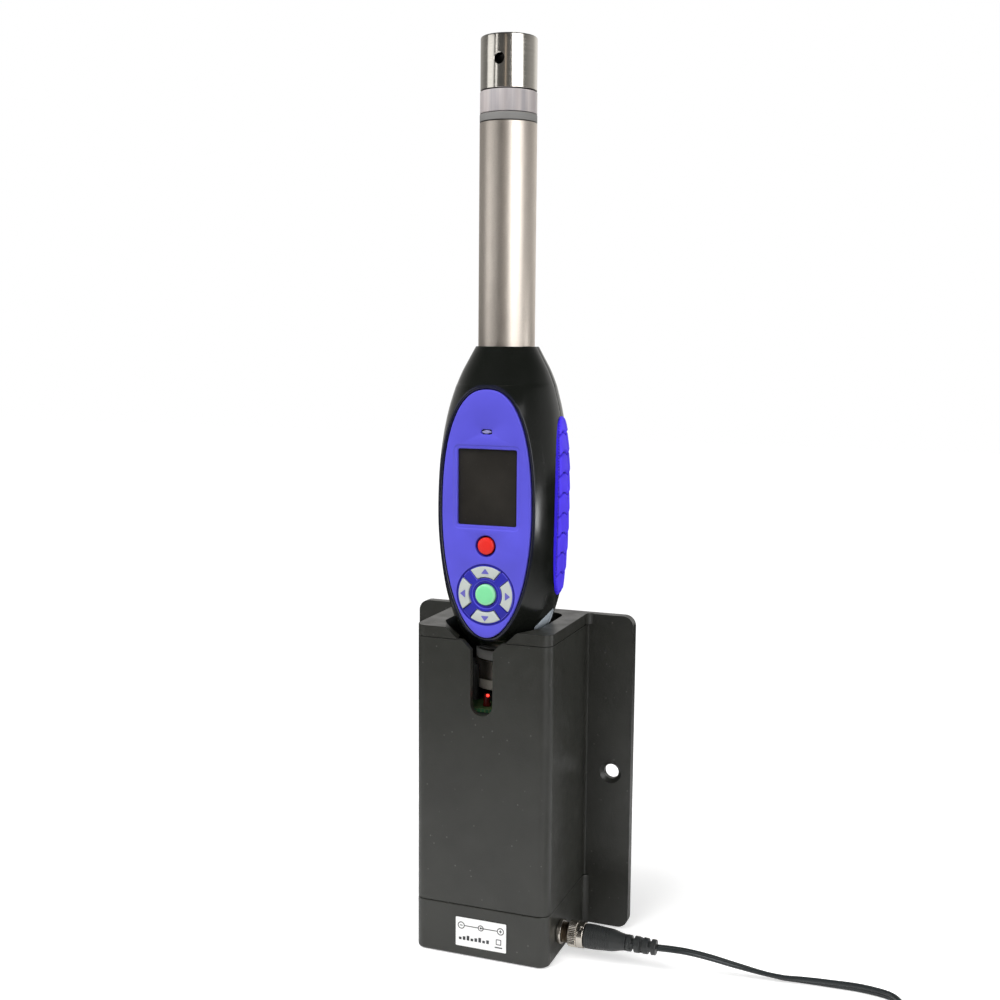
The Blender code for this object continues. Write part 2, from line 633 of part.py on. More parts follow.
def make_fascia(mats, holder):
    x0, x1, z0, z1 = SCREEN
    holes = [key_outline(turn, 0.00035) for turn in KEYS.values()]
    holes.append(circle(0, PAD_Z, ENTER_R + 0.00035, 24))
    holes.append(circle(0, STOP_Z, STOP_R + 0.00040, 20))
    holes.append(rounded_rect(x0, x1, z0, z1, 0.0010, 2))
    lamp = rounded_rect(-0.0026, 0.0026, LAMP_Z - 0.0011, LAMP_Z + 0.0011, 0.0010, 3)
    holes.append(lamp)
    finish_mesh("fascia", slab(oval(0), "Y", *FASCIA_Y, holes), mats["fascia_blue"], holder=holder)
    lens = rounded_rect(-0.0023, 0.0023, LAMP_Z - 0.0008, LAMP_Z + 0.0008, 0.0007, 3)
    finish_mesh("sensor_window", slab(lens, "Y", -0.0239, -0.0224), mats["lens"], holder=holder)
    glass = rounded_rect(x0 - 0.0006, x1 + 0.0006, z0 - 0.0006, z1 + 0.0006, 0.0012, 2)
    finish_mesh("display_window", slab(glass, "Y", -0.0219, -0.0208), mats["screen"], holder=holder)
    display = box((x0, x1), (-0.0204, -0.0178), (z0, z1))
    finish_mesh("display_module", display, mats["screen"], holder=holder)
    for name, turn in KEYS.items():
        middle = (KEY_R[0] + KEY_R[1]) / 2
        angle = math.radians(turn)
        place = (middle * math.cos(angle), -0.0225, PAD_Z + middle * math.sin(angle))
        finish_mesh(name, slab(key_outline(turn), "Y", -0.0245, KEY_BACK), mats["key_grey"], place, holder)
    enter = [(0, -0.0248), (0.0038, -0.0248), (ENTER_R, -0.0243), (ENTER_R, KEY_BACK), (0, KEY_BACK)]
    enter_bm = turned(enter, 24, "Y", (0, 0, PAD_Z))
    finish_mesh("enter_button", enter_bm, mats["button_green"], (0, -0.0225, PAD_Z), holder)
    stop = [(0, -0.0246), (0.0034, -0.0246), (STOP_R, -0.0242), (STOP_R, KEY_BACK), (0, KEY_BACK)]
    stop_bm = turned(stop, 20, "Y", (0, 0, STOP_Z))
    finish_mesh("red_button", stop_bm, mats["button_red"], (0, -0.0225, STOP_Z), holder)


def make_grips(mats, holder):
    """Soft pads on the two sides: oval patches that follow the casing's surface."""
    rows = 12
    columns = 6
    middle = (GRIP_Z[0] + GRIP_Z[1]) / 2
    half = (GRIP_Z[1] - GRIP_Z[0]) / 2
    for name, side in (("grip_left", -1), ("grip_right", 1)):
        bm = bmesh.new()
        sheets = []
        for lift in (0.00035, 0.00035 + GRIP_T):
            grid = []
            for i in range(rows + 1):
                angle = math.pi * (i / rows - 0.5) * 0.94
                z = middle + half * math.sin(angle)
                reach = GRIP_HALF_D * math.cos(angle)
                line = []
                for j in range(columns + 1):
                    y = PARTING + reach * (2 * j / columns - 1)
                    line.append(bm.verts.new((side * (surface_x(z, y) + lift), y, z)))
                grid.append(line)
            sheets.append(grid)
        for grid in sheets:
            for i in range(rows):
                for j in range(columns):
                    bm.faces.new((grid[i][j], grid[i][j + 1], grid[i + 1][j + 1], grid[i + 1][j]))
        low, high = sheets
        edge = [(i, 0) for i in range(rows)] + [(rows, j) for j in range(columns)]
        edge += [(i, columns) for i in range(rows, 0, -1)] + [(0, j) for j in range(columns, 0, -1)]
        for (a, b), (c, d) in zip(edge, edge[1:] + edge[:1]):
            bm.faces.new((low[a][b], low[c][d], high[c][d], high[a][b]))
        finish_mesh(name, bm, mats["grip_blue"], holder=holder)


def make_shaft(mats, holder):
    inner = 0.0110
    tube = [(inner, SHAFT_Z[0]), (TUBE_R, SHAFT_Z[0]), (TUBE_R, SHAFT_Z[1]), (inner, SHAFT_Z[1])]
    finish_mesh("shaft_tube", turned(tube, 32), mats["champagne"], holder=holder)
    grey = [(0.0070, GREY_Z[0]), (TUBE_R, GREY_Z[0]), (TUBE_R, GREY_Z[1]), (0.0070, GREY_Z[1])]
    finish_mesh("head_spacer", turned(grey, 32), mats["grey"], holder=holder)
    light = [(0.0106, LIGHT_Z[0]), (0.0126, LIGHT_Z[0]), (0.0126, LIGHT_Z[1]), (0.0106, LIGHT_Z[1])]
    finish_mesh("light_ring", turned(light, 32), mats["lens"], holder=holder)
    ring = [(0.0070, 0.3785), (0.0098, 0.3785), (0.0098, 0.3797), (0.0070, 0.3797)]
    finish_mesh("light_ring_board", turned(ring, 24), mats["board"], holder=holder)
    low, high = COLLAR_Z
    bottom = low + 0.0035
    collar = [
        (0, low), (0.0123, low), (0.0125, low + 0.0003), (0.0125, high - 0.0008),
        (0.0118, high), (0.0085, high), (COLLAR_BORE_R, high - 0.0006), (COLLAR_BORE_R, bottom),
        (0, bottom),
    ]
    head = finish_mesh("head_collar", turned(collar, 32), mats["steel"], holder=holder)
    hole = [(0, -0.0140), (COLLAR_HOLE_R, -0.0140), (COLLAR_HOLE_R, -0.0060), (0, -0.0060)]
    cut(head, cutter("collar_hole_cut", turned(hole, 16, "Y", (0, 0, COLLAR_HOLE_Z))))
    beam = [
        (0, 0.2420), (0.0066, 0.2420), (0.0066, 0.2600), (0.0045, 0.2660), (0.0045, 0.3000),
        (0.0066, 0.3060), (0.0066, low - GAP), (0, low - GAP),
    ]
    finish_mesh("sensing_beam", turned(beam, 20), mats["steel"], holder=holder)


def make_inside(mats, holder):
    board = []
    for x, z in oval(-0.0065, 8):
        board.append((max(-0.0158, min(0.0158, x)), z))
    finish_mesh("main_board", slab(board, "Y", -0.0173, -0.0157), mats["board"], holder=holder)
    cell = [(0, 0.1680), (0.0088, 0.1680), (0.0092, 0.1684)]
    cell += [(0.0092, 0.2326), (0.0088, 0.2330), (0, 0.2330)]
    finish_mesh("battery_cell", turned(cell, 20, "Z", (0, 0.0098, 0)), mats["cell"], holder=holder)
    sounder = [(0, -0.0154), (0.0055, -0.0154), (0.0055, -0.0120), (0, -0.0120)]
    finish_mesh("sounder", turned(sounder, 16, "Y", (0, 0, 0.2390)), mats["moulding"], holder=holder)


def make_tail(mats, holder):
    ring = [(0.0108, 0.1339), (0.0126, 0.1339), (0.0126, 0.1387), (0.0108, 0.1387)]
    finish_mesh("tail_ring", turned(ring, 32), mats["grey"], holder=holder)
    tube = [
        (0.0090, 0.1250), (TUBE_R, 0.1250), (TUBE_R, 0.1336),
        (0.0105, 0.1336), (0.0105, 0.1500), (0.0090, 0.1500),
    ]
    finish_mesh("tail_tube", turned(tube, 32), mats["champagne"], holder=holder)
    cap = [
        (0, 0.1212), (0.0033, 0.1212), (0.0033, TAIL_END), (0.0059, TAIL_END), (0.0059, 0.1212),
        (0.0091, 0.1212), (0.0091, TAIL_END), (0.0119, TAIL_END), (0.0123, 0.1204), (0.0123, 0.1247),
        (0.0086, 0.1247), (0.0086, 0.1290), (0, 0.1290),
    ]
    finish_mesh("tail_cap", turned(cap, 32), mats["cap"], holder=holder)
    disc = [(0, TAIL_END), (0.0030, TAIL_END), (0.0030, 0.1209), (0, 0.1209)]
    finish_mesh("tail_contact_plus", turned(disc, 20), mats["gold"], holder=holder)
    ring = [(0.0062, TAIL_END), (0.0088, TAIL_END), (0.0088, 0.1209), (0.0062, 0.1209)]
    finish_mesh("tail_contact_minus", turned(ring, 24), mats["gold"], holder=holder)


def main():
    clear_scene()
    mats = {
        "cradle_black": material("cradle_black", (0.045, 0.046, 0.044), 0.45),
        "shell_black": material("shell_black", (0.012, 0.013, 0.012), 0.30),
        "moulding": material("moulding", (0.020, 0.020, 0.020), 0.55),
        "fascia_blue": material("fascia_blue", (0.115, 0.105, 0.72), 0.50),
        "grip_blue": material("grip_blue", (0.060, 0.020, 0.75), 0.45),
        "key_grey": material("key_grey", (0.50, 0.53, 0.50), 0.50),
        "button_green": material("button_green", (0.24, 0.80, 0.38), 0.50),
        "button_red": material("button_red", (0.85, 0.030, 0.020), 0.45),
        "champagne": material("champagne", (0.62, 0.55, 0.47), 0.35, 1.0),
        "grey": material("grey", (0.18, 0.18, 0.18), 0.60),
        "steel": material("steel", (0.60, 0.58, 0.55), 0.20, 1.0),
        "nickel": material("nickel", (0.66, 0.62, 0.56), 0.22, 1.0),
        "gold": material("gold", (0.85, 0.62, 0.25), 0.25, 1.0),
        "lens": material("lens", (0.75, 0.75, 0.74), 0.35),
        "red_lens": material("red_lens", (0.85, 0.03, 0.02), 0.20),
        "screen": material("screen", (0.030, 0.026, 0.024), 0.12),
        "board": material("board", (0.02, 0.16, 0.06), 0.50),
        "cell": material("cell", (0.10, 0.30, 0.45), 0.40),
        "cap": material("cap", (0.55, 0.55, 0.52), 0.40),
        "wire": material("wire", (0.03, 0.03, 0.03), 0.50),
        "plug_black": material("plug_black", (0.035, 0.036, 0.036), 0.45),
        "label": material("label", (0.88, 0.88, 0.86), 0.40),
    }
    make_housing(mats)
    make_lid(mats)
    make_base(mats)
    make_well(mats)
    make_socket(mats)
    make_lead(mats)
    holder = empty("instrument_lift_axis", (0, 0, TAIL_END))
    make_shells(mats, holder)
    make_fascia(mats, holder)
    make_grips(mats, holder)
    make_shaft(mats, holder)
    make_inside(mats, holder)
    make_tail(mats, holder)


main()
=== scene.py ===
"""Looks of the handheld instrument in its charging cradle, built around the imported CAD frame.

Metres, +Z up, the cradle's front faces -Y. Pieces that are seen are rebuilt here with fine,
bevelled surfaces on the CAD's own sizes. Pieces out of sight keep their CAD meshes.
"""

import json
import math

import bmesh
import bpy
from mathutils import Matrix, Vector


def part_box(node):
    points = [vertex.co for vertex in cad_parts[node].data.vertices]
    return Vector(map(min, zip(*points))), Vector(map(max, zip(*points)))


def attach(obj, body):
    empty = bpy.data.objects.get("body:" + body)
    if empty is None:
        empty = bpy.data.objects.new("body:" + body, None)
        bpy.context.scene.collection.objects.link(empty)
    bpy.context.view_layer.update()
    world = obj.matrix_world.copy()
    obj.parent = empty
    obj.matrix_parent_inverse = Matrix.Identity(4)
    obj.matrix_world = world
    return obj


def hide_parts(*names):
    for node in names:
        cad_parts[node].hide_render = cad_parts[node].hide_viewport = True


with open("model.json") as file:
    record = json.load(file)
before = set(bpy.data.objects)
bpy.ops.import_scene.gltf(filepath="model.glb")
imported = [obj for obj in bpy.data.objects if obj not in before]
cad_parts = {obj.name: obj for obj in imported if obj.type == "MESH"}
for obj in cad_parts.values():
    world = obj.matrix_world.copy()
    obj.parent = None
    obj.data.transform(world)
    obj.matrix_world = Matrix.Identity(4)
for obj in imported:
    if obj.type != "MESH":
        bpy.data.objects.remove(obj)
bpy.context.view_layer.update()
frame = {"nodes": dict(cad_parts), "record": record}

BODY_OF = {n: body for body, nodes in frame["record"]["behaviour"]["bodies"].items() for n in nodes}

# ---- sizes repeated from the CAD
GAP = 0.0003
CORNER_R = 0.0050
FLARE_R = 0.0030
WALL = 0.0028
FLOOR = 0.0032
SLOT_HALF_W = 0.0052
SLOT_SHOULDER = 0.0041
SLOT_BOTTOM = 0.1125
LID_HOLE = (-0.0230, 0.0230, -0.0205, 0.0212)
LID_HOLE_R = 0.0075
NOTCH_HALF_W = (0.0098, 0.0158)
NOTCH_SPREAD = 1.45
WALL_HOLE = (0.0443, 0.0758)
WALL_HOLE_R = (0.0035, 0.0052)

PARTING = 0.0015
SHELL_T = 0.0020
FASCIA_MID = 0.2030
FASCIA_HALF_W = 0.0208
FASCIA_UP = 0.0535
FASCIA_DOWN = 0.0560
FASCIA_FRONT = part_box("fascia")[0].y
FASCIA_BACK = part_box("fascia")[1].y
RIM = 0.0020
SCREEN = (-0.0137, 0.0139, 0.1970, 0.2306)
PAD_Z = 0.1664
KEY_R = (0.0079, 0.0127)
KEY_HALF_ANGLE = 33.0
KEYS = {"key_right": 0, "key_up": 90, "key_left": 180, "key_down": 270}
STOP_Z = 0.1881
LAMP_Z = 0.2382
SHELL_SCREWS = [(-0.0190, 0.1830), (0.0190, 0.1830), (-0.0190, 0.2320), (0.0190, 0.2320)]
HEAD_SEAT = 0.0125
GRIP_Z = (0.1636, 0.2447)
GRIP_HALF_D = 0.0125

# stations of the body: height, half width, front depth, back depth
BODY = [
    (0.1390, 0.0126, 0.0126, 0.0126),
    (0.1415, 0.0150, 0.0170, 0.0150),
    (0.1450, 0.0180, 0.0212, 0.0172),
    (0.1500, 0.0206, 0.0234, 0.0190),
    (0.1570, 0.0231, 0.0234, 0.0206),
    (0.1680, 0.0257, 0.0234, 0.0222),
    (0.1860, 0.0273, 0.0234, 0.0232),
    (0.2080, 0.0279, 0.0234, 0.0236),
    (0.2280, 0.0275, 0.0234, 0.0232),
    (0.2450, 0.0254, 0.0234, 0.0222),
    (0.2570, 0.02253, 0.0234, 0.0203),
    (0.2585, 0.02203, 0.0230, 0.0199),
    (0.2600, 0.02148, 0.0222, 0.0195),
    (0.2615, 0.0209, 0.0213, 0.0190),
    (0.2650, 0.01935, 0.0192, 0.0179),
    (0.2710, 0.0161, 0.0161, 0.0156),
    (0.2750, 0.0139, 0.0140, 0.0139),
]

LEAD_Y = -0.0108
LEAD_Z = 0.0112
LEAD_AXIS = (0, LEAD_Y, LEAD_Z)
STRAND_R = 0.00105                # each of the lead's two round strands
CORD_ROUTE = [
    (0.0777, -0.0108, 0.0112), (0.0840, -0.0102, 0.0113), (0.0915, -0.0082, 0.0104),
    (0.1005, -0.0055, 0.0083), (0.1125, -0.0022, 0.0050), (0.1250, 0.0000, 0.0025),
    (0.1385, 0.0017, 0.00125), (0.1520, 0.0026, 0.00110), (0.1650, 0.0030, 0.00110),
    (0.1765, 0.0006, 0.00110), (0.1815, -0.0048, 0.00110), (0.1843, -0.0120, 0.00110),
    (0.1855, -0.0205, 0.00110), (0.1859, -0.0300, 0.00110), (0.1860, -0.0400, 0.00110),
    (0.1860, -0.0500, 0.00110),
]
COIL_CENTRE = (0.1560, -0.0597)
END_ROUTE = [
    (0.1540, -0.0905, 0.00110), (0.1470, -0.0902, 0.00110), (0.1400, -0.0882, 0.00110),
    (0.1340, -0.0853, 0.00110), (0.1288, -0.0838, 0.00110),
]


# ---- outlines
def arc(cx, cy, radius, start, end, steps):
    """Points on an arc from start to end, in degrees."""
    points = []
    for i in range(steps + 1):
        angle = math.radians(start + (end - start) * i / steps)
        points.append((cx + radius * math.cos(angle), cy + radius * math.sin(angle)))
    return points


def circle(cx, cy, radius, steps=48):
    """A function that gives the circle's outline, grown outwards by its argument."""
    return lambda grow: arc(cx, cy, radius + grow, 0, 360, steps)[:-1]


def rounded_rect(x0, x1, y0, y1, radius, steps=8):
    """A function that gives a rectangle's outline with round corners, grown by its argument."""

    def outline(grow):
        r = max(radius + grow, 1e-5)
        right, left, top, bottom = x1 + grow - r, x0 - grow + r, y1 + grow - r, y0 - grow + r
        return (
            arc(right, top, r, 0, 90, steps)
            + arc(left, top, r, 90, 180, steps)
            + arc(left, bottom, r, 180, 270, steps)
            + arc(right, bottom, r, 270, 360, steps)
        )

    return outline


def fillet(points, radius, steps=3):
    """Round the corners of a closed outline, except on the axis. A point may bring its own radius."""
    rounded = []
    count = len(points)
    for i, here in enumerate(points):
        r = here[2] if len(here) > 2 else radius
        corner = Vector(here[:2])
        back = Vector(points[i - 1][:2]) - corner
        on = Vector(points[(i + 1) % count][:2]) - corner
        if r <= 0 or corner.x == 0:
            rounded.append(tuple(corner))
            continue
        half = back.angle(on) / 2
        trim = min(r / math.tan(half), 0.45 * back.length, 0.45 * on.length)
        start = corner + back.normalized() * trim
        end = corner + on.normalized() * trim
        for k in range(steps + 1):
            t = k / steps
            rounded.append(tuple((1 - t) ** 2 * start + 2 * t * (1 - t) * corner + t**2 * end))
    return rounded


def power(base, exponent):
    return max(base, 0.0) ** exponent


def smoothstep(low, high, value):
    t = min(max((value - low) / (high - low), 0.0), 1.0)
    return t * t * (3 - 2 * t)


# ---- mesh helpers
def to_world(axis, u, v, w):
    if axis == "X":
        return (w, u, v)
    if axis == "Y":
        return (u, w, v)
    return (u, v, w)


def skin(bm, loops, mat=0):
    """Quads between each loop of vertices and the next."""
    for a, b in zip(loops, loops[1:]):
        for i in range(len(a)):
            j = (i + 1) % len(a)
            bm.faces.new((a[i], a[j], b[j], b[i])).material_index = mat


def stack(bm, outline, rings, axis, mat=0):
    """Loops of one outline at (grow, place) after each other, joined by quads. Ends returned."""
    loops = []
    for grow, place in rings:
        loops.append([bm.verts.new(to_world(axis, u, v, place)) for u, v in outline(grow)])
    skin(bm, loops, mat)
    return loops[0], loops[-1]


def cap(bm, *loops, mat=0):
    """Fill the flat region between loops of vertices."""
    edges = []
    for loop in loops:
        for a, b in zip(loop, loop[1:] + loop[:1]):
            edges.append(bm.edges.get((a, b)) or bm.edges.new((a, b)))
    made = bmesh.ops.triangle_fill(bm, use_beauty=True, use_dissolve=False, edges=edges)
    for face in made["geom"]:
        if isinstance(face, bmesh.types.BMFace):
            face.material_index = mat


def block(outline, rings, axis="Y"):
    """A closed form: one outline at (grow, place) after each other, filled at both ends."""
    bm = bmesh.new()
    for end in stack(bm, outline, rings, axis):
        cap(bm, end)
    return bm


def slab(outline, axis, low, high, holes=()):
    """A closed plate with sharp edges."""
    bm = bmesh.new()
    ends = [stack(bm, shape, [(0, low), (0, high)], axis) for shape in (outline, *holes)]
    cap(bm, *[first for first, last in ends])
    cap(bm, *[last for first, last in ends])
    return bm


def lathe(profile, segments, axis="Z", centre=(0, 0, 0), wave=None, bm=None, mat=0):
    """Revolve a closed (radius, height) outline. wave(angle, radius, height) gives a new radius."""
    bm = bm or bmesh.new()
    rings = []
    for radius, height in profile:
        ring = []
        for i in range(segments if radius > 0 else 1):
            angle = 2 * math.pi * (i + 0.5) / segments
            r = wave(angle, radius, height) if wave and radius > 0 else radius
            u, v = r * math.cos(angle), r * math.sin(angle)
            ring.append(bm.verts.new(Vector(to_world(axis, u, v, height)) + Vector(centre)))
        rings.append(ring)
    for a, b in zip(rings, rings[1:] + rings[:1]):
        if len(a) == len(b) == 1:
            continue
        for i in range(segments):
            j = (i + 1) % segments
            corners = [a[i % len(a)], a[j % len(a)], b[j % len(b)], b[i % len(b)]]
            bm.faces.new(dict.fromkeys(corners)).material_index = mat
    return bm


def mesh_object(name, bm, mats=(), sharp=35):
    bmesh.ops.remove_doubles(bm, verts=bm.verts, dist=2e-6)
    bmesh.ops.recalc_face_normals(bm, faces=bm.faces)
    mesh = bpy.data.meshes.new(name)
    bm.to_mesh(mesh)
    bm.free()
    mesh.shade_smooth()
    mesh.set_sharp_from_angle(angle=math.radians(sharp))
    for mat in mats:
        mesh.materials.append(mat)
    obj = bpy.data.objects.new(name, mesh)
    bpy.context.scene.collection.objects.link(obj)
    return obj


def stands_for(obj, *nodes):
    """obj rides on the first node's body and hides the nodes."""
    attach(obj, BODY_OF[nodes[0]])
    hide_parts(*nodes)


def piece(name, node, bm, *mats, sharp=35):
    """A finished mesh in the place of one CAD node."""
    stands_for(mesh_object(name, bm, mats, sharp), node)


def added(name, node, bm, *mats, sharp=35):
    """A mesh with no CAD solid of its own: it rides on node's body."""
    obj = mesh_object(name, bm, mats, sharp)
    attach(obj, BODY_OF[node])


def carve(obj, bm, operation="DIFFERENCE"):
    """Apply a boolean with bm's closed mesh, and throw the tool away."""
    tool = mesh_object(obj.name + "_tool", bm)
    mod = obj.modifiers.new("carve", "BOOLEAN")
    mod.operation = operation
    mod.object = tool
    mod.solver = "EXACT"
    apply_modifiers(obj)
    bpy.data.objects.remove(tool, do_unlink=True)


def apply_modifiers(obj):
    depsgraph = bpy.context.evaluated_depsgraph_get()
    mesh = bpy.data.meshes.new_from_object(obj.evaluated_get(depsgraph), depsgraph=depsgraph)
    old = obj.data
    obj.modifiers.clear()
    obj.data = mesh
    bpy.data.meshes.remove(old)


def bevelled(obj, width, segments, angle):
    bevel = obj.modifiers.new("soften", "BEVEL")
    bevel.width = width
    bevel.segments = segments
    bevel.limit_method = "ANGLE"
    bevel.angle_limit = math.radians(angle)
    return bevel


def weigh_normals(obj, weight):
    obj.data.set_sharp_from_angle(angle=math.radians(50))
    weigh = obj.modifiers.new("weigh", "WEIGHTED_NORMAL")
    weigh.keep_sharp = True
    weigh.weight = weight
    apply_modifiers(obj)


def soften(obj, width, segments=3):
    """Round the sharp edges."""
    bevelled(obj, width, segments, 40).miter_outer = "MITER_ARC"
    apply_modifiers(obj)
    obj.data.shade_smooth()
    weigh_normals(obj, 90)


# ---- materials
class Nodes:
    """A node tree built by short calls."""

    def __init__(self, tree):
        self.tree = tree
        self.places = self.new("TexCoord").outputs

    def new(self, kind, inputs=None, **values):
        node = self.tree.nodes.new("ShaderNode" + kind)
        for key, value in values.items():
            setattr(node, key, value)
        for key, value in (inputs or {}).items():
            self.give(node, key, value)
        return node

    def give(self, node, key, value):
        """Link a socket to an input, or set a value. A colour may leave out its alpha."""
        socket = node.inputs[key]
        if isinstance(value, bpy.types.NodeSocket):
            self.tree.links.new(value, socket)
        elif socket.type == "RGBA" and len(value) == 3:
            socket.default_value = (*value, 1.0)
        else:
            socket.default_value = value

    def ranged(self, source, low, high, start=0.3, end=0.7):
        """source mapped from start..end onto low..high, held at the ends."""
        inputs = {"Value": source, "From Min": start, "From Max": end, "To Min": low, "To Max": high}
        return self.new("MapRange", inputs).outputs["Result"]

    def mixed(self, factor, first, second):
        inputs = {"Factor": factor, "A": first, "B": second}
        return self.new("Mix", inputs, data_type="RGBA").outputs["Result"]

    def combined(self, operation, first, second):
        return self.new("Math", {0: first, 1: second}, operation=operation).outputs[0]


class Surface(Nodes):
    """A material's nodes, with patterns in object coordinates."""

    def __init__(self, name, colour, roughness, metallic=0.0):
        self.mat = bpy.data.materials.new(name)
        self.mat.use_nodes = True
        super().__init__(self.mat.node_tree)
        self.shader = self.tree.nodes["Principled BSDF"]
        self.set("Base Color", colour)
        self.set("Roughness", roughness)
        self.set("Metallic", metallic)

    def set(self, name, value):
        self.give(self.shader, name, value)

    def fed(self, name):
        """The socket that feeds one of the shader's inputs."""
        return self.shader.inputs[name].links[0].from_socket

    def stretched(self, scale):
        inputs = {"Scale": scale, "Vector": self.places["Object"]}
        return self.new("Mapping", inputs).outputs["Vector"]

    def noise(self, scale, detail=3.0, stretch=(1, 1, 1), rough=0.5):
        inputs = {"Scale": scale, "Detail": detail, "Roughness": rough}
        inputs["Vector"] = self.stretched(stretch)
        return self.new("TexNoise", inputs).outputs["Fac"]

    def cells(self, scale):
        inputs = {"Scale": scale, "Vector": self.stretched((1, 1, 1))}
        return self.new("TexVoronoi", inputs).outputs["Distance"]

    def bump(self, source, depth, before=None):
        """A bump of depth metres; returns its normal so that bumps can follow each other."""
        inputs = {"Distance": depth, "Height": source} | ({"Normal": before} if before else {})
        normal = self.new("Bump", inputs).outputs["Normal"]
        self.set("Normal", normal)
        return normal


def shaded(colour, amount):
    return tuple(min(c * amount, 1.0) for c in colour)


def plastic(name, colour, roughness, grain=1500, depth=0.00003, drift=0.12, spread=0.06, specular=0.5):
    """Moulded plastic: a fine spark-eroded grain, and a tone and gloss that vary slowly."""
    n = Surface(name, colour, roughness)
    tones = shaded(colour, 1 - drift), shaded(colour, 1 + drift)
    n.set("Base Color", n.mixed(n.ranged(n.noise(60), 0, 1), *tones))
    n.set("Roughness", n.ranged(n.noise(140), roughness - spread, roughness + spread))
    first = n.bump(n.noise(grain, 2.0), depth)
    n.bump(n.noise(grain / 9, 2.0), depth, first)
    n.set("Specular IOR Level", specular)
    return n


def dusty(n, scale, strength, reach, tone):
    """n's material with pale specks of dust."""
    specks = n.ranged(n.cells(scale), strength, 0.0, 0.0, reach)
    n.set("Base Color", n.mixed(specks, n.fed("Base Color"), tone))
    return n.mat


def casing_plastic(name, colour):
    """Glossy black casing with hair-fine handling marks."""
    n = plastic(name, colour, 0.19, 900, 0.000006, 0.10, 0.04)
    marks = n.ranged(n.noise(320, 4.0, (1.0, 1.0, 0.06)), 0.0, 0.10, 0.60, 0.78)
    n.set("Roughness", n.combined("ADD", n.fed("Roughness"), marks))
    return n.mat


def facet_painted_reflection():
    """The polished flat at the foot of the black casing, with a painted reflection: pale slate at the
    top, dark towards the foot.
    """
    n = plastic("casing_facet_painted_reflection", (0.20, 0.23, 0.27), 0.22, 900, 0.000008, 0.05, 0.04)
    height = n.new("SeparateXYZ", {"Vector": n.places["Object"]}).outputs["Z"]
    # painted reflection: pale blue-grey tones stand in for the black plastic's reflection
    tone = n.mixed(n.ranged(n.noise(90), 0, 1), (0.42, 0.48, 0.54), (0.58, 0.64, 0.70))
    reflection_fade = n.ranged(height, 0.0, 1.0, 0.1450, 0.1500)
    n.set("Base Color", n.mixed(reflection_fade, (0.035, 0.045, 0.060), tone))
    return n.mat


def brushed(name, colour, roughness, stretch, grain, depth, spread=0.08):
    """Metal with lines along the directions whose stretch is small."""
    n = Surface(name, colour, roughness, 1.0)
    lines = n.noise(grain, 4.0, stretch, 0.6)
    n.set("Roughness", n.ranged(lines, roughness - spread, roughness + spread))
    n.set("Base Color", n.mixed(n.ranged(lines, 0, 1), shaded(colour, 0.86), colour))
    n.bump(lines, depth)
    return n.mat


def blasted(name, colour, roughness):
    """Bead-blasted and anodised aluminium."""
    n = Surface(name, colour, roughness, 1.0)
    grains = n.noise(2600, 2.0)
    n.set("Roughness", n.ranged(n.noise(180), roughness - 0.03, roughness + 0.04))
    n.set("Base Color", n.mixed(n.ranged(grains, 0, 1), shaded(colour, 0.90), colour))
    n.bump(grains, 0.000015)
    return n.mat


def frosted_lens():
    """Frosted clear plastic with faint upright streaks from the chips behind it."""
    n = plastic("frosted_lens", (0.66, 0.64, 0.63), 0.36, 1200, 0.00001, 0.04, 0.05)
    tints, streaks = n.noise(150, 1.0, (1.0, 1.0, 0.04)), n.noise(330, 2.0, (1.0, 1.0, 0.04))
    tint = n.mixed(n.ranged(tints, 0, 1, 0.40, 0.60), (0.52, 0.49, 0.51), (0.62, 0.555, 0.545))
    n.set("Base Color", n.mixed(n.ranged(streaks, 0, 1, 0.45, 0.70), tint, (0.78, 0.72, 0.705)))
    n.set("Transmission Weight", 0.35)
    n.set("IOR", 1.45)
    return n.mat


def circuit_board():
    n = plastic("circuit_board", (0.01, 0.06, 0.03), 0.45, 700, 0.00002)
    tracks = {"Scale": 260, "Mortar Size": 0.03, "Vector": n.places["Object"]}
    tracks |= {"Color1": (0.008, 0.045, 0.018), "Color2": (0.010, 0.065, 0.025)}
    tracks["Mortar"] = (0.12, 0.11, 0.04)
    n.set("Base Color", n.new("TexBrick", tracks).outputs["Color"])
    return n.mat


def lit_lamp():
    """Smoked red lamp with a small lit spot at the front."""
    n = plastic("lit_red_lamp", (0.070, 0.004, 0.003), 0.25, 500, 0.00001)
    ends = {0: n.places["Object"], 1: (0.0000, -0.0196, 0.1201)}
    from_spot = n.new("VectorMath", ends, operation="DISTANCE").outputs["Value"]
    n.set("Emission Color", (1.0, 0.03, 0.02))
    n.set("Emission Strength", n.ranged(from_spot, 6.0, 0.0, 0.0004, 0.0011))
    return n.mat


# grain, its depth, drift, spread and specular level of three groups of plastics
SOFT = (2600, 0.00003, 0.10, 0.07, 0.35)
BUTTON = (2400, 0.00003, 0.05)
FLAT = (2200, 0.00002)

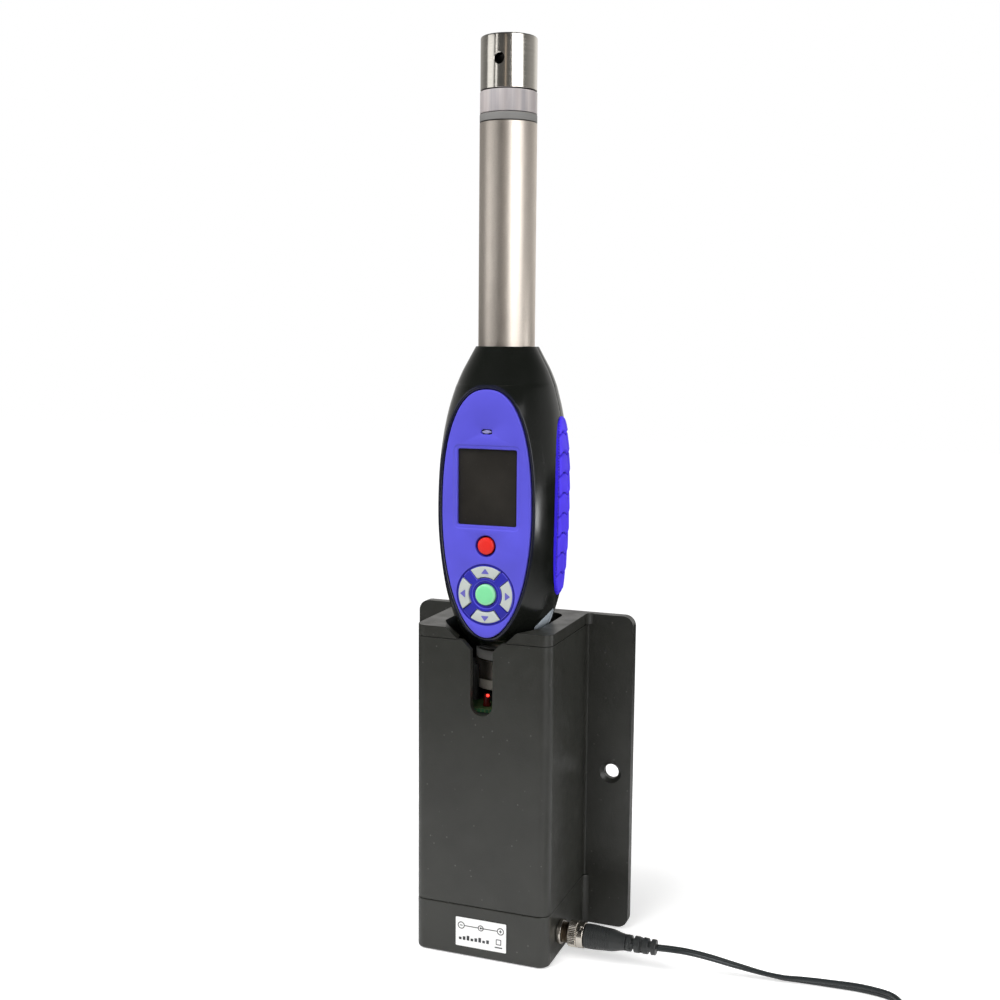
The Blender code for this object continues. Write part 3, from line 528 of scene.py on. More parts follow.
# name, colour, roughness, then grain and so on where they differ from plastic's own
PLASTICS = {
    "moulding": ("inner_moulding", (0.020, 0.020, 0.020), 0.55),
    "fascia": ("fascia_matte_blue", (0.096, 0.086, 0.640), 0.52, *FLAT, 0.04),
    "pad": ("pad_matte_blue", (0.019, 0.018, 0.345), 0.52, *FLAT, 0.04),
    # darker blue of the fascia's grooves and wells: painted shade
    "fascia_edge": ("fascia_groove_blue", (0.020, 0.015, 0.30), 0.5, *FLAT),
    "grip": ("grip_soft_blue", (0.078, 0.040, 0.92), 0.55, *SOFT),
    "grip_band": ("grip_soft_blue_band", (0.020, 0.001, 0.70), 0.5, *SOFT),
    # darker blue of the grooves between grip tiles: painted shade
    "grip_groove": ("grip_soft_blue_groove", (0.036, 0.014, 0.52), 0.6, *SOFT),
    "key": ("key_silicone", (0.49, 0.525, 0.50), 0.50, *BUTTON),
    "arrow": ("arrow_violet", (0.13, 0.12, 0.46), 0.50, 2400, 0.00002, 0.05),
    "green": ("button_mint", (0.21, 0.70, 0.34), 0.48, *BUTTON),
    "green_rim": ("button_mint_rim", (0.28, 0.72, 0.40), 0.48, *BUTTON),
    "red": ("button_scarlet", (0.76, 0.022, 0.016), 0.46, *BUTTON),
    "spacer": ("grey_spacer", (0.215, 0.212, 0.205), 0.55, 1600, 0.00003, 0.05),
    "window": ("small_window", (0.26, 0.25, 0.48), 0.28, 400, 0.000002, 0.2, 0.03, 0.6),
    "chip": ("light_chip", (0.80, 0.74, 0.42), 0.35, 900, 0.00001),
    "cell": ("cell_wrap", (0.10, 0.30, 0.45), 0.35, 500, 0.00002),
    "cap": ("pale_end_cap", (0.48, 0.45, 0.40), 0.40, 1400, 0.00002, 0.06),
    "wire": ("wire_jacket", (0.030, 0.030, 0.030), 0.55, *SOFT),
    "plug": ("plug_moulding", (0.025, 0.027, 0.027), 0.34, 1700, 0.00005),
    "cord": ("lead_jacket", (0.023, 0.027, 0.028), 0.22, 700, 0.00002, 0.10, 0.05),
    "label": ("label_paper", (0.86, 0.86, 0.85), 0.50, 1300, 0.00002, 0.02),
    "ink": ("label_print", (0.05, 0.05, 0.055), 0.60, 1300, 0.00001, 0.30),
}
EVEN, ROUND_X, ROUND_Z = (1, 1, 1), (60.0, 1.0, 1.0), (1.0, 1.0, 60.0)
METALS = {
    "steel": ("turned_steel", (0.78, 0.745, 0.68), 0.17, ROUND_Z, 60, 0.000004, 0.05),
    "screw": ("screw_steel", (0.46, 0.45, 0.43), 0.28, EVEN, 900, 0.00001),
    # near-black in place of steel inside the collar's bore and cross hole: painted shade
    "bore": ("bore_painted_shade", (0.025, 0.024, 0.022), 0.45, ROUND_Z, 60, 0.000004),
    "nickel": ("plated_nickel", (0.72, 0.67, 0.60), 0.20, ROUND_X, 60, 0.000006),
    "thread": ("dark_thread", (0.30, 0.25, 0.19), 0.34, ROUND_X, 60, 0.000006),
    "gold": ("gold_contact", (0.85, 0.62, 0.25), 0.24, EVEN, 900, 0.000006),
}


def make_materials():
    olive_black = (0.0225, 0.0230, 0.0195)
    cradle = plastic("cradle_textured_plastic", olive_black, 0.34, 1900, 0.00005, specular=0.62)
    screen = plastic("display_glass", (0.026, 0.024, 0.021), 0.16, 300, 0.000002, 0.15, 0.04)
    return {
        "cradle": dusty(cradle, 210, 0.35, 0.10, (0.26, 0.26, 0.24)),
        "screen": dusty(screen, 420, 0.30, 0.07, (0.20, 0.19, 0.18)),
        "casing": casing_plastic("casing_gloss_plastic", (0.0070, 0.0080, 0.0066)),
        # black plastic with a navy tint that is a painted reflection of the blue fascia
        "bezel": casing_plastic("bezel_plastic_painted_blue_reflection", (0.010, 0.011, 0.022)),
        "facet": facet_painted_reflection(),
        "champagne": blasted("champagne_anodised", (0.87, 0.79, 0.705), 0.42),
        "lens": frosted_lens(),
        "board": circuit_board(),
        "lamp": lit_lamp(),
        **{key: plastic(*row).mat for key, row in PLASTICS.items()},
        **{key: brushed(*row) for key, row in METALS.items()},
    }


# ---- camera, light and floor
def make_camera():
    yaw, pitch, roll = math.radians(20.73), math.radians(6.91), math.radians(0.47)
    forward = Vector(
        (-math.sin(yaw) * math.cos(pitch), math.cos(yaw) * math.cos(pitch), -math.sin(pitch))
    )
    level = Vector((math.cos(yaw), math.sin(yaw), 0))
    up = level.cross(forward)
    right = math.cos(roll) * level + math.sin(roll) * up
    top = math.cos(roll) * up - math.sin(roll) * level
    camera = bpy.data.objects.new("camera", bpy.data.cameras.new("camera"))
    camera.data.lens = 48.0
    camera.data.sensor_width = 36.0
    camera.data.clip_start = 0.01
    turn = Matrix((right, top, -forward)).transposed().to_4x4()
    camera.matrix_world = Matrix.Translation((0.210193, -0.562069, 0.278533)) @ turn
    bpy.context.scene.collection.objects.link(camera)
    bpy.context.scene.camera = camera


LIT_POINT = Vector((0.0, 0.0, 0.20))


def area_light(name, place, size, power_w, tint=(1, 1, 1), glossy=True):
    data = bpy.data.lights.new(name, "AREA")
    data.shape = "RECTANGLE"
    data.size, data.size_y = size
    data.energy = power_w
    data.color = tint
    obj = bpy.data.objects.new(name, data)
    obj.location = place
    obj.rotation_euler = (LIT_POINT - Vector(place)).to_track_quat("-Z", "Y").to_euler()
    obj.visible_glossy = glossy
    bpy.context.scene.collection.objects.link(obj)


def make_world():
    """White to the camera. Other rays meet a dim room with a paler backdrop behind the object."""
    world = bpy.data.worlds.new("studio")
    bpy.context.scene.world = world
    world.use_nodes = True
    n = Nodes(world.node_tree)
    way = n.new("SeparateXYZ", {"Vector": n.places["Generated"]}).outputs
    ramp = n.new("ValToRGB", {"Fac": n.ranged(way["Y"], 0, 1, -1, 1)})
    stops = ramp.color_ramp.elements
    stops[1].position = 0.97
    for place, level in ((0.35, 0.13), (0.62, 0.26), (0.85, 0.40)):
        stops.new(place).color = (level, level, level, 1)
    stops[0].color = (0.10, 0.10, 0.10, 1)
    stops[-1].color = (0.85, 0.85, 0.85, 1)
    strength = n.combined("MULTIPLY", ramp.outputs["Color"], n.ranged(way["Z"], 1.0, 0.15, 0.30, 0.65))
    room = n.tree.nodes["Background"]
    n.give(room, "Color", (1.0, 0.985, 0.96))
    n.give(room, "Strength", strength)
    white = n.new("Background", {"Color": (1, 1, 1)})
    seen = n.new("LightPath").outputs["Is Camera Ray"]
    mix = n.new("MixShader", {"Fac": seen, 1: room.outputs[0], 2: white.outputs[0]})
    n.give(n.tree.nodes["World Output"], "Surface", mix.outputs[0])


def floor_paper():
    """Paper lit near the object. Further off it only looks white, and throws no light back."""
    n = plastic("floor_paper", (0.90, 0.90, 0.90), 0.85, 40, 0.0001, 0.01, 0.02, 0.0)
    reach = n.new("VectorMath", {0: n.places["Object"]}, operation="LENGTH").outputs["Value"]
    far = n.ranged(reach, 0, 1, 0.20, 0.55)
    n.set("Base Color", n.mixed(far, n.fed("Base Color"), (0.0, 0.0, 0.0)))
    n.set("Emission Color", (1, 1, 1))
    seen = n.new("LightPath").outputs["Is Camera Ray"]
    n.set("Emission Strength", n.combined("MULTIPLY", n.ranged(reach, 0.50, 1.1, 0.10, 0.55), seen))
    return n.mat


def make_studio():
    bpy.context.scene.view_settings.view_transform = "Standard"
    make_world()
    area_light("soft_overhead", (-0.45, -0.70, 1.25), (1.2, 1.0), 22.0, glossy=False)
    area_light("right_panel", (1.17, -0.66, 0.45), (0.85, 1.3), 8.0)
    area_light("right_strip", (0.86, -1.04, 0.45), (0.20, 1.3), 4.6)
    area_light("left_panel", (-1.25, -0.75, 0.40), (0.8, 1.2), 3.1)
    area_light("left_strip", (-0.72, -1.18, 0.45), (0.12, 1.2), 0.8)
    area_light("rear_right_panel", (1.28, 0.42, 0.35), (0.45, 1.1), 5.0, glossy=False)
    area_light("low_right_card", (0.95, 0.31, 0.05), (0.30, 0.12), 0.9)
    area_light("warm_strip", (0.18, -1.36, 0.45), (0.10, 1.0), 0.18, (1.0, 0.80, 0.62))
    floor_bm = bmesh.new()
    ground, _ = stack(floor_bm, rounded_rect(-3, 3, -3, 3, 0.5), [(0, -0.0004), (0, -0.01)], "Z")
    cap(floor_bm, ground)
    mesh_object("floor", floor_bm, [floor_paper()])


# ---- the lead
def hermite(t, a, b, slope_a, slope_b):
    """The smooth curve from a to b at t, which runs from 0 to 1."""
    return (
        (2 * t**3 - 3 * t**2 + 1) * a
        + (t**3 - 2 * t**2 + t) * slope_a
        + (3 * t**2 - 2 * t**3) * b
        + (t**3 - t**2) * slope_b
    )


def smooth_line(points, step):
    """Points about step apart on a smooth curve through the given points."""
    points = [Vector(p) for p in points]
    line = [points[0]]
    padded = [points[0], *points, points[-1]]
    for p0, p1, p2, p3 in zip(padded, points, points[1:], padded[3:]):
        count = max(1, round((p2 - p1).length / step))
        for k in range(1, count + 1):
            line.append(hermite(k / count, p1, p2, (p2 - p0) / 2, (p3 - p1) / 2))
    return line


def coil_line():
    """Clockwise turns: inwards on the floor, up at the middle, and outwards on top."""
    cx, cy = COIL_CENTRE
    start = Vector(CORD_ROUTE[-1][:2]) - Vector(COIL_CENTRE)
    end = Vector(END_ROUTE[0][:2]) - Vector(COIL_CENTRE)
    first_angle = math.atan2(start.y, start.x)
    last_angle = math.atan2(end.y, end.x)
    lower_turns = 4.8
    upper_turns = 5 - lower_turns % 1 + (first_angle - last_angle) / (2 * math.pi)
    total = lower_turns + upper_turns
    inner, outer, top = 0.0160, 0.0272, 0.0281
    low_z, high_z = 0.00215, 0.00640
    line = []
    steps = round(total * 48)
    for k in range(1, steps):
        turn = k / 48
        left = total - turn
        if turn < lower_turns:
            radius = outer + (inner - outer) * turn / lower_turns
        else:
            radius = inner + (top - inner) * (turn - lower_turns) / upper_turns
        radius += (start.length - outer) * (1 - smoothstep(0, 0.17, turn))
        radius += (end.length - top) * (1 - smoothstep(0, 0.13, left))
        climb = smoothstep(lower_turns - 0.45, lower_turns + 0.25, turn)
        drop = smoothstep(0.02, 0.17, left)
        z = low_z + (high_z - low_z) * min(climb, drop)
        angle = first_angle - 2 * math.pi * turn
        line.append(Vector((cx + radius * math.cos(angle), cy + radius * math.sin(angle), z)))
    return line


def flat_section():
    """Two round strands side by side, joined by a thin web."""
    right = arc(STRAND_R, 0, STRAND_R, -118, 118, 9)
    left = arc(-STRAND_R, 0, STRAND_R, 62, 298, 9)
    return right + [(0, 0.00058)] + left + [(0, -0.00058)]


def make_lead(mats):
    """One flat lead from the plug to the far plug, its unseen length wound in a coil."""
    first, coil, last = smooth_line(CORD_ROUTE, 0.0022), coil_line(), smooth_line(END_ROUTE, 0.0022)
    line = first + coil + last
    run = [0.0]
    for a, b in zip(line, line[1:]):
        run.append(run[-1] + (b - a).length)
    coil_end = run[len(first) + len(coil) - 1]
    bm = bmesh.new()
    rings, centres = [], []
    for i, point in enumerate(line):
        tangent = (line[min(i + 1, len(line) - 1)] - line[max(i - 1, 0)]).normalized()
        side = tangent.cross(Vector((0, 0, 1))).normalized()
        up = side.cross(tangent)
        lean = 72 * smoothstep(0.020, 0.095, run[i]) + 18 * smoothstep(0.110, 0.170, run[i])
        lean = math.radians(lean * (1 - smoothstep(coil_end - 0.020, coil_end + 0.008, run[i])))
        wide = math.cos(lean) * side + math.sin(lean) * up
        thin = tangent.cross(wide)
        height = STRAND_R * (1 + math.sin(lean))
        centre = Vector((point.x, point.y, max(point.z, height + 0.00002)))
        centres.append(centre)
        rings.append([bm.verts.new(centre + u * wide + v * thin) for u, v in flat_section()])
    skin(bm, rings)
    bm.faces.new(rings[0])
    bm.faces.new(rings[-1])
    lead = mesh_object("lead", bm, [mats["cord"]], 50)
    stands_for(lead, "lead_cord", "lead_coil", "lead_cord_end")


def make_usb_plug(mats):
    low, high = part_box("usb_plug_body")
    outline = rounded_rect(low.x, high.x, low.y, high.y, 0.0024, 6)
    rings = [(-0.0012, low.z), (-0.0004, low.z + 0.0003), (0, low.z + 0.0011)]
    rings += [(0, high.z - 0.0011), (-0.0004, high.z - 0.0003), (-0.0012, high.z)]
    plug = mesh_object("usb_plug_moulding", block(outline, rings, "Z"), [mats["plug"]])
    middle_y = (low.y + high.y) / 2
    for k in range(4):
        x = low.x + 0.0075 + 0.0028 * k
        groove = rounded_rect(x, x + 0.0011, middle_y - 0.0052, middle_y + 0.0052, 0.0005, 4)
        carve(plug, slab(groove, "Z", high.z - 0.0004, high.z + 0.0010))
    start, end = high.x - 0.0010, high.x + 0.0012
    collar = fillet([(0, start), (0.0032, start), (0.0026, end), (0, end)], 0.0004)
    carve(plug, lathe(collar, 32, "X", (0, middle_y, 0.0034)), "UNION")
    stands_for(plug, "usb_plug_body")


# ---- cradle
def cradle_outline(back, flare=0.0):
    """Footprint of the box as a function of how far it is grown, with a flare at the plate."""
    low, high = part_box("cradle_base_cap")

    def outline(grow):
        x = high.x + grow
        front = low.y - grow
        r = CORNER_R + grow
        right = arc(x - r, front + r, r, -90, 0, 12)
        if flare:
            right += arc(x + flare, back - flare, flare, 180, 90, 8)
        else:
            right += [(x, back)]
        return right + [(-u, v) for u, v in reversed(right)]

    return outline


def make_housing(mats):
    low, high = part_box("cradle_housing")
    plate_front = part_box("cradle_lid")[1].y + GAP
    outline = cradle_outline(plate_front + 0.0010, FLARE_R)
    hollow = cradle_outline(plate_front)
    base_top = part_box("cradle_base_cap")[1].z + GAP
    lid_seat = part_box("cradle_lid")[0].z - GAP
    walls = slab(outline, "Z", base_top, lid_seat, [lambda grow: hollow(grow - WALL)])
    housing = mesh_object("cradle_box", walls, [mats["cradle"]])
    plate = rounded_rect(low.x, high.x, low.z, high.z, CORNER_R, 12)
    carve(housing, slab(plate, "Y", plate_front, high.y), "UNION")
    wide = SLOT_HALF_W + SLOT_SHOULDER
    slot = [(-SLOT_HALF_W, lid_seat - SLOT_SHOULDER), (-wide, lid_seat), (-wide, lid_seat + 0.004)]
    slot += [(-x, z) for x, z in reversed(slot)]
    slot += arc(0, SLOT_BOTTOM + SLOT_HALF_W, SLOT_HALF_W, 0, -180, 20)
    carve(housing, slab(lambda grow: slot, "Y", low.y - 0.004, low.y + 0.0061))
    hole_x, hole_z = WALL_HOLE
    shank, sink = WALL_HOLE_R
    profile = [(0, plate_front - 0.001), (sink, plate_front - 0.001), (sink, plate_front + 0.0002)]
    profile += [(shank, plate_front + 0.0020), (shank, high.y + 0.001), (0, high.y + 0.001)]
    for side in (-1, 1):
        carve(housing, lathe(profile, 48, "Y", (side * hole_x, 0, hole_z)))
    soften(housing, 0.00075)
    stands_for(housing, "cradle_housing")


def make_lid(mats):
    low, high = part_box("cradle_lid")
    opening = rounded_rect(*LID_HOLE, LID_HOLE_R, 12)
    lid = mesh_object(
        "cradle_top", slab(cradle_outline(high.y, FLARE_R), "Z", low.z, high.z, [opening]),
        [mats["cradle"]],
    )
    foot, brow = NOTCH_HALF_W
    bottom, top = low.z - GAP, high.z + 0.0006
    notch = [(-foot, bottom), (-brow, top), (brow, top), (foot, bottom)]
    wedge = slab(lambda grow: notch, "Y", low.y - 0.0039, -0.0160)
    for vert in wedge.verts:
        if vert.co.y > LID_HOLE[2]:
            vert.co.x *= NOTCH_SPREAD
    carve(lid, wedge)
    soften(lid, 0.00080, 4)
    stands_for(lid, "cradle_lid")


def make_base(mats):
    low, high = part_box("cradle_base_cap")
    bm = bmesh.new()
    top = high.z
    rings = [(-0.0012, 0.0), (-0.0007, 0.00012), (-0.0003, 0.0004), (-0.0001, 0.0008), (0, 0.0014)]
    rings += [(0, top - 0.0006), (-0.00008, top - 0.0003), (-0.0003, top - 0.00008), (-0.0006, top)]
    outer_low, outer_high = stack(bm, cradle_outline(high.y, FLARE_R), rings, "Z")
    hollow = cradle_outline(high.y - WALL)
    inner_high, inner_low = stack(bm, lambda g: hollow(g - WALL), [(0, top), (0, FLOOR)], "Z")
    cap(bm, outer_low)
    cap(bm, inner_low)
    cap(bm, outer_high, inner_high)
    base = mesh_object("cradle_foot", bm, [mats["cradle"]])
    start, end = high.x - 0.006, high.x + 0.002
    carve(base, lathe([(0, start), (0.0044, start), (0.0044, end), (0, end)], 40, "X", LEAD_AXIS))
    for n in range(1, 5):
        screw_low, screw_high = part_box(f"base_screw_{n}")
        middle = (screw_low + screw_high) / 2
        head = (screw_high.x - screw_low.x) / 2
        recess = [(0, -0.001), (0.0036, -0.001), (0.0036, 0.0004), (0.0017, 0.0024)]
        recess += [(0.0017, FLOOR + 0.001), (0, FLOOR + 0.001)]
        carve(base, lathe(recess, 32, "Z", (middle.x, middle.y, 0)))
        make_screw(f"foot_screw_{n}", f"base_screw_{n}", "Z", middle, head, 0.0007, 1, mats["screw"])
    weigh_normals(base, 50)
    stands_for(base, "cradle_base_cap")


def make_screw(name, node, axis, middle, head, face, sense, mat):
    """A cross-recessed screw. Its head's face lies at face, and sense points into the thread."""
    low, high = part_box(node)
    length, thread_r = max(high - low), head * 0.45
    profile = [(0, 0), (head, 0), (head, 0.0004), (thread_r, 0.0021), (thread_r, length)]
    profile = [(r, face + sense * h) for r, h in fillet(profile + [(0, length)], 0.00015)]
    centre = Vector(middle)
    centre["XYZ".index(axis)] = 0
    screw = mesh_object(name, lathe(profile, 32, axis, centre), [mat])
    arm, blade = head * 0.62, head * 0.13
    for u, v in ((arm, blade), (blade, arm)):
        cross = rounded_rect(-u, u, -v, v, 0.0001, 2)
        tool = slab(cross, axis, *sorted((face - sense * 0.001, face + sense * 0.0008)))
        bmesh.ops.translate(tool, vec=centre, verts=tool.verts)
        carve(screw, tool)
    stands_for(screw, node)


def make_label(mats):
    """A plain white label with a generic polarity drawing and a row of bars."""
    low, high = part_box("rating_label")
    outline = rounded_rect(low.x, high.x, low.z, high.z, 0.0004, 4)
    bm = block(outline, [(0, high.y), (0, low.y + 0.00005), (-0.00005, low.y)])

    def printed(*shapes):
        heights = [(0, low.y + 0.00002), (0, low.y - 0.00002)]
        cap(bm, *[stack(bm, shape, heights, "Y", 1)[1] for shape in shapes], mat=1)

    line_z, thin, arm = low.z + 0.0098, 0.0002, 0.0007
    left, middle, right = low.x + 0.0027, (low.x + high.x) / 2, high.x - 0.0027
    for x, radius in ((left, 0.0017), (middle, 0.0014), (right, 0.0017)):
        printed(circle(x, line_z, radius, 32), circle(x, line_z, radius - 0.00042, 32))
    printed(circle(middle, line_z, 0.0005, 20))
    bars = [(left + 0.0017, middle - 0.0014), (middle + 0.0005, right - 0.0017)]
    bars += [(left - arm, left + arm), (right - arm, right + arm)]
    bars = [(x0, x1, line_z - thin, line_z + thin) for x0, x1 in bars]
    bars.append((right - thin, right + thin, line_z - arm, line_z + arm))
    for k in range(8):
        x = low.x + 0.0016 + 0.0019 * k
        bars.append((x, x + 0.0013, low.z + 0.0030, low.z + 0.0030 + 0.0012 + 0.0005 * (k % 3)))
    bars.append((high.x - 0.0054, high.x - 0.0018, low.z + 0.0018, low.z + 0.0024))
    for sides in bars:
        printed(rounded_rect(*sides, 0.00005, 2))
    x0, x1, z0, z1 = high.x - 0.0049, high.x - 0.0023, low.z + 0.0033, low.z + 0.0060
    frame_outline = rounded_rect(x0, x1, z0, z1, 0.0003, 3)
    printed(frame_outline, lambda grow: frame_outline(-0.0004))
    piece("plain_label", "rating_label", bm, mats["label"], mats["ink"])


# ---- socket and plug
def make_socket(mats):
    low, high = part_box("dc_socket")
    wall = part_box("cradle_base_cap")[1].x
    start = wall + 0.0022
    flange = [(0.0042, wall + GAP), (0.0056, wall + GAP), (0.0056, start), (0.0042, start)]
    bm = lathe(fillet(flange, 0.0003), 64, "X", LEAD_AXIS)
    thread = [(0.0031, 0.0265), (0.0031, high.x)]
    pitch = 0.00062
    turns = int((high.x - start) / pitch)
    for k in range(turns, 0, -1):
        x = start + pitch * k
        thread += [(0.0041, x), (0.0046, x - pitch / 2)]
    thread += [(0.0041, start), (0.0040, low.x), (0.0012, low.x), (0.0012, 0.0265)]
    lathe(thread, 48, "X", LEAD_AXIS, bm=bm, mat=1)
    pin = fillet([(0, 0.0262), (0.0010, 0.0262), (0.0010, 0.0385, 0.0008), (0, 0.0388)], 0.0001)
    lathe(pin, 24, "X", LEAD_AXIS, bm=bm)
    piece("power_socket", "dc_socket", bm, mats["nickel"], mats["thread"])


def make_lock_ring(mats):
    """Half of the ring is knurled, half is smooth and notched."""
    low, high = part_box("lock_ring")
    seam = low.x + 0.0038
    bore = 0.0047
    knurl = [(bore, low.x), (0.0059, low.x), (0.0059, seam), (bore, seam)]
    teeth = 44

    def knurled(angle, radius, height):
        if radius < 0.0053:
            return radius
        tooth = abs((angle * teeth / (2 * math.pi)) % 1 - 0.5) * 2
        return radius - 0.00032 * smoothstep(0.1, 0.9, tooth)

    bm = lathe(fillet(knurl, 0.00035), teeth * 8, "X", LEAD_AXIS, knurled)
    smooth = [(bore, seam), (0.0054, seam), (0.0054, seam + 0.0004), (0.0058, seam + 0.0004)]
    smooth += [(0.0058, high.x, 0.0005), (bore, high.x)]
    lathe(fillet(smooth, 0.0002), 96, "X", LEAD_AXIS, bm=bm)
    ring = mesh_object("plug_lock_ring", bm, [mats["nickel"]])
    notch = rounded_rect(-0.0008, 0.0008, 0.0050, 0.0070, 0.0002, 3)
    for degrees in (218, 38):
        tool = slab(notch, "X", high.x - 0.0011, high.x + 0.001)
        turn = Matrix.Rotation(math.radians(degrees), 4, "X")
        tool.transform(Matrix.Translation(LEAD_AXIS) @ turn)
        carve(ring, tool)
    stands_for(ring, "lock_ring")


def make_plug(mats):
    low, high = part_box("plug_body")
    ribs_end = low.x + 0.0140
    profile = [(0, low.x), (0.0040, low.x), (0.0040, low.x + 0.0028), (0.0052, low.x + 0.0031)]
    x = low.x + 0.0036
    while x < ribs_end:
        crest = 0.00545 - 0.00045 * smoothstep(ribs_end - 0.008, ribs_end, x)
        profile += [(crest, x), (crest, x + 0.00070), (crest - 0.00022, x + 0.00078)]
        profile += [(crest - 0.00022, x + 0.00100)]
        x += 0.00110
    for k in range(1, 11):
        t = k / 10
        radius = 0.0050 - 0.0014 * smoothstep(0, 1, t)
        profile.append((radius, ribs_end + (high.x - ribs_end) * t))
    profile += [(0.0033, high.x), (0, high.x)]
    piece("plug_moulding", "plug_body", lathe(profile, 64, "X", LEAD_AXIS), mats["plug"])
    low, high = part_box("strain_relief")
    blocks = [(low.x, 0.0663, 0.0037), (0.0676, 0.0702, 0.0037), (0.0715, 0.0740, 0.0036)]
    blocks.append((0.0753, 0.0774, 0.0035))
    core = 0.0024
    profile = [(0, low.x)]
    for start, end, radius in blocks:
        profile += [(core, start)] if start > low.x + 0.001 else []
        profile += [(radius, start), (radius - 0.0001, end), (core, end)]
    profile += [(0, high.x)]
    relief = mesh_object(
        "lead_strain_relief", lathe(fillet(profile, 0.0004), 48, "X", LEAD_AXIS), [mats["plug"]]
    )
    for k, (start, end) in enumerate(((0.0662, 0.0677), (0.0701, 0.0716), (0.0739, 0.0754))):
        u, v = ((0.0033, 0.0011), (0.0011, 0.0033))[k % 2]
        web = slab(rounded_rect(-u, u, -v, v, 0.0003, 3), "X", start, end)
        web.transform(Matrix.Translation(LEAD_AXIS))
        carve(relief, web, "UNION")
    for k, x in enumerate((0.0655, 0.0710)):
        for side in (-1, 1):
            wide, deep = (-0.0012, 0.0012), sorted((side * 0.0029, side * 0.0050))
            spans = (*wide, *deep) if k % 2 else (*deep, *wide)
            slot_bm = slab(rounded_rect(*spans, 0.0002, 3), "X", x, x + 0.0016)
            slot_bm.transform(Matrix.Translation(LEAD_AXIS))
            carve(relief, slot_bm)
    stands_for(relief, "strain_relief")


# ---- shape of the casing
def oval_half_width(z, grow):
    up = z >= FASCIA_MID
    reach = (FASCIA_UP if up else FASCIA_DOWN) + grow
    exponent = 2.35 if up else 2.0
    return (FASCIA_HALF_W + grow) * power(1 - (abs(z - FASCIA_MID) / reach) ** exponent, 1 / exponent)


def oval_angles(steps):
    return [math.pi * (i / steps - 0.5) for i in range(steps + 1)]


def oval_height(angle, grow):
    return FASCIA_MID + ((FASCIA_UP if angle >= 0 else FASCIA_DOWN) + grow) * math.sin(angle)


def oval(steps=72):
    """A function that gives the fascia's outline in X and Z, grown by its argument."""

    def outline(grow):
        right = []
        for angle in oval_angles(steps):
            z = oval_height(angle, grow)
            right.append((oval_half_width(z, grow), z))
        return right + [(-x, z) for x, z in reversed(right[1:-1])]

    return outline


def body_form(z):
    """Half width, front depth and back depth at height z, on a smooth curve."""
    heights = [row[0] for row in BODY]
    z = min(max(z, heights[0]), heights[-1])
    i = max(k for k in range(len(BODY) - 1) if heights[k] <= z)
    low, high = BODY[i], BODY[i + 1]
    before, after = BODY[max(i - 1, 0)], BODY[min(i + 2, len(BODY) - 1)]
    span = high[0] - low[0]
    form = []
    for k in (1, 2, 3):
        slope_low = (high[k] - before[k]) / (high[0] - before[0]) * span
        slope_high = (after[k] - low[k]) / (after[0] - low[0]) * span
        form.append(hermite((z - low[0]) / span, low[k], high[k], slope_low, slope_high))
    return form


def front_swell(z, half_w, depth):
    """Reach of the front's full ellipse, whose middle the fascia's plane cuts off, and that cut."""
    flat = oval_half_width(z, RIM)
    return (depth + PARTING) / math.sqrt(1 - min(flat / half_w, 0.95) ** 2), flat


def surface_x(z, y):
    """Half width of the casing's outer surface at height z and depth y."""
    half_w, depth_front, depth_back = body_form(z)
    if y < PARTING:
        reach, _ = front_swell(z, half_w, depth_front)
        exponent = 2.0
    else:
        reach = depth_back - PARTING
        exponent = 2.2
    part = min(abs(y - PARTING) / reach, 1.0)
    return half_w * power(1 - part**exponent, 1 / exponent)


def section(z, front, inset, steps):
    """Right half of a shell's cross-section, from the parting plane to the middle or the rim."""
    half_w, depth_front, depth_back = body_form(z)
    if front:
        reach, flat = front_swell(z, half_w, depth_front)
        last = math.acos(min(flat / half_w, 0.95))
        exponent, sign = 2.0, -1
    else:
        reach, last = depth_back - PARTING, math.pi / 2
        exponent, sign = 2.2, 1
    lip = 0.0 if inset else 0.00025
    edge = PARTING + sign * GAP / 2
    half_w -= inset
    reach -= inset + GAP / 2
    points = [(half_w - lip, edge), (half_w - lip * 0.3, edge + sign * lip * 0.3)]
    for i in range(steps + 1):
        angle = last * i / steps
        x = half_w * power(math.cos(angle), 2 / exponent)
        y = edge + sign * (lip + (reach - lip) * power(math.sin(angle), 2 / exponent))
        points.append((x, y))
    return points


def shell(front, levels, steps=22):
    """A closed shell: outer and inner skins, a lip at the parting, and the fascia's opening."""
    bm = bmesh.new()
    for side in (1, -1):
        rings = []
        for z in levels:
            loop = section(z, front, 0.0, steps) + section(z, front, SHELL_T * 0.8, steps)[::-1]
            rings.append([bm.verts.new((side * x, y, z)) for x, y in loop])
        skin(bm, rings)
        count = len(rings[0])
        for ring in (rings[0], rings[-1]):
            for i in range(count // 2 - 1):
                bm.faces.new((ring[i], ring[i + 1], ring[count - 2 - i], ring[count - 1 - i]))
    bmesh.ops.remove_doubles(bm, verts=bm.verts, dist=2e-6)
    bmesh.ops.dissolve_degenerate(bm, dist=1e-6, edges=bm.edges)
    middle = [f for f in bm.faces if all(abs(v.co.x) < 1e-6 for v in f.verts)]
    bmesh.ops.delete(bm, geom=middle, context="FACES")
    return bm


FACET_POINT = Vector((0.0239, 0.0050, 0.1580))
FACET_SLOPES = (0.14, 0.40)       # how the facet's X grows with Y and with Z
FACET_EDGE = (Vector((0, 0.0010, 0.1575)), Vector((0, -0.5235, 1)).normalized())


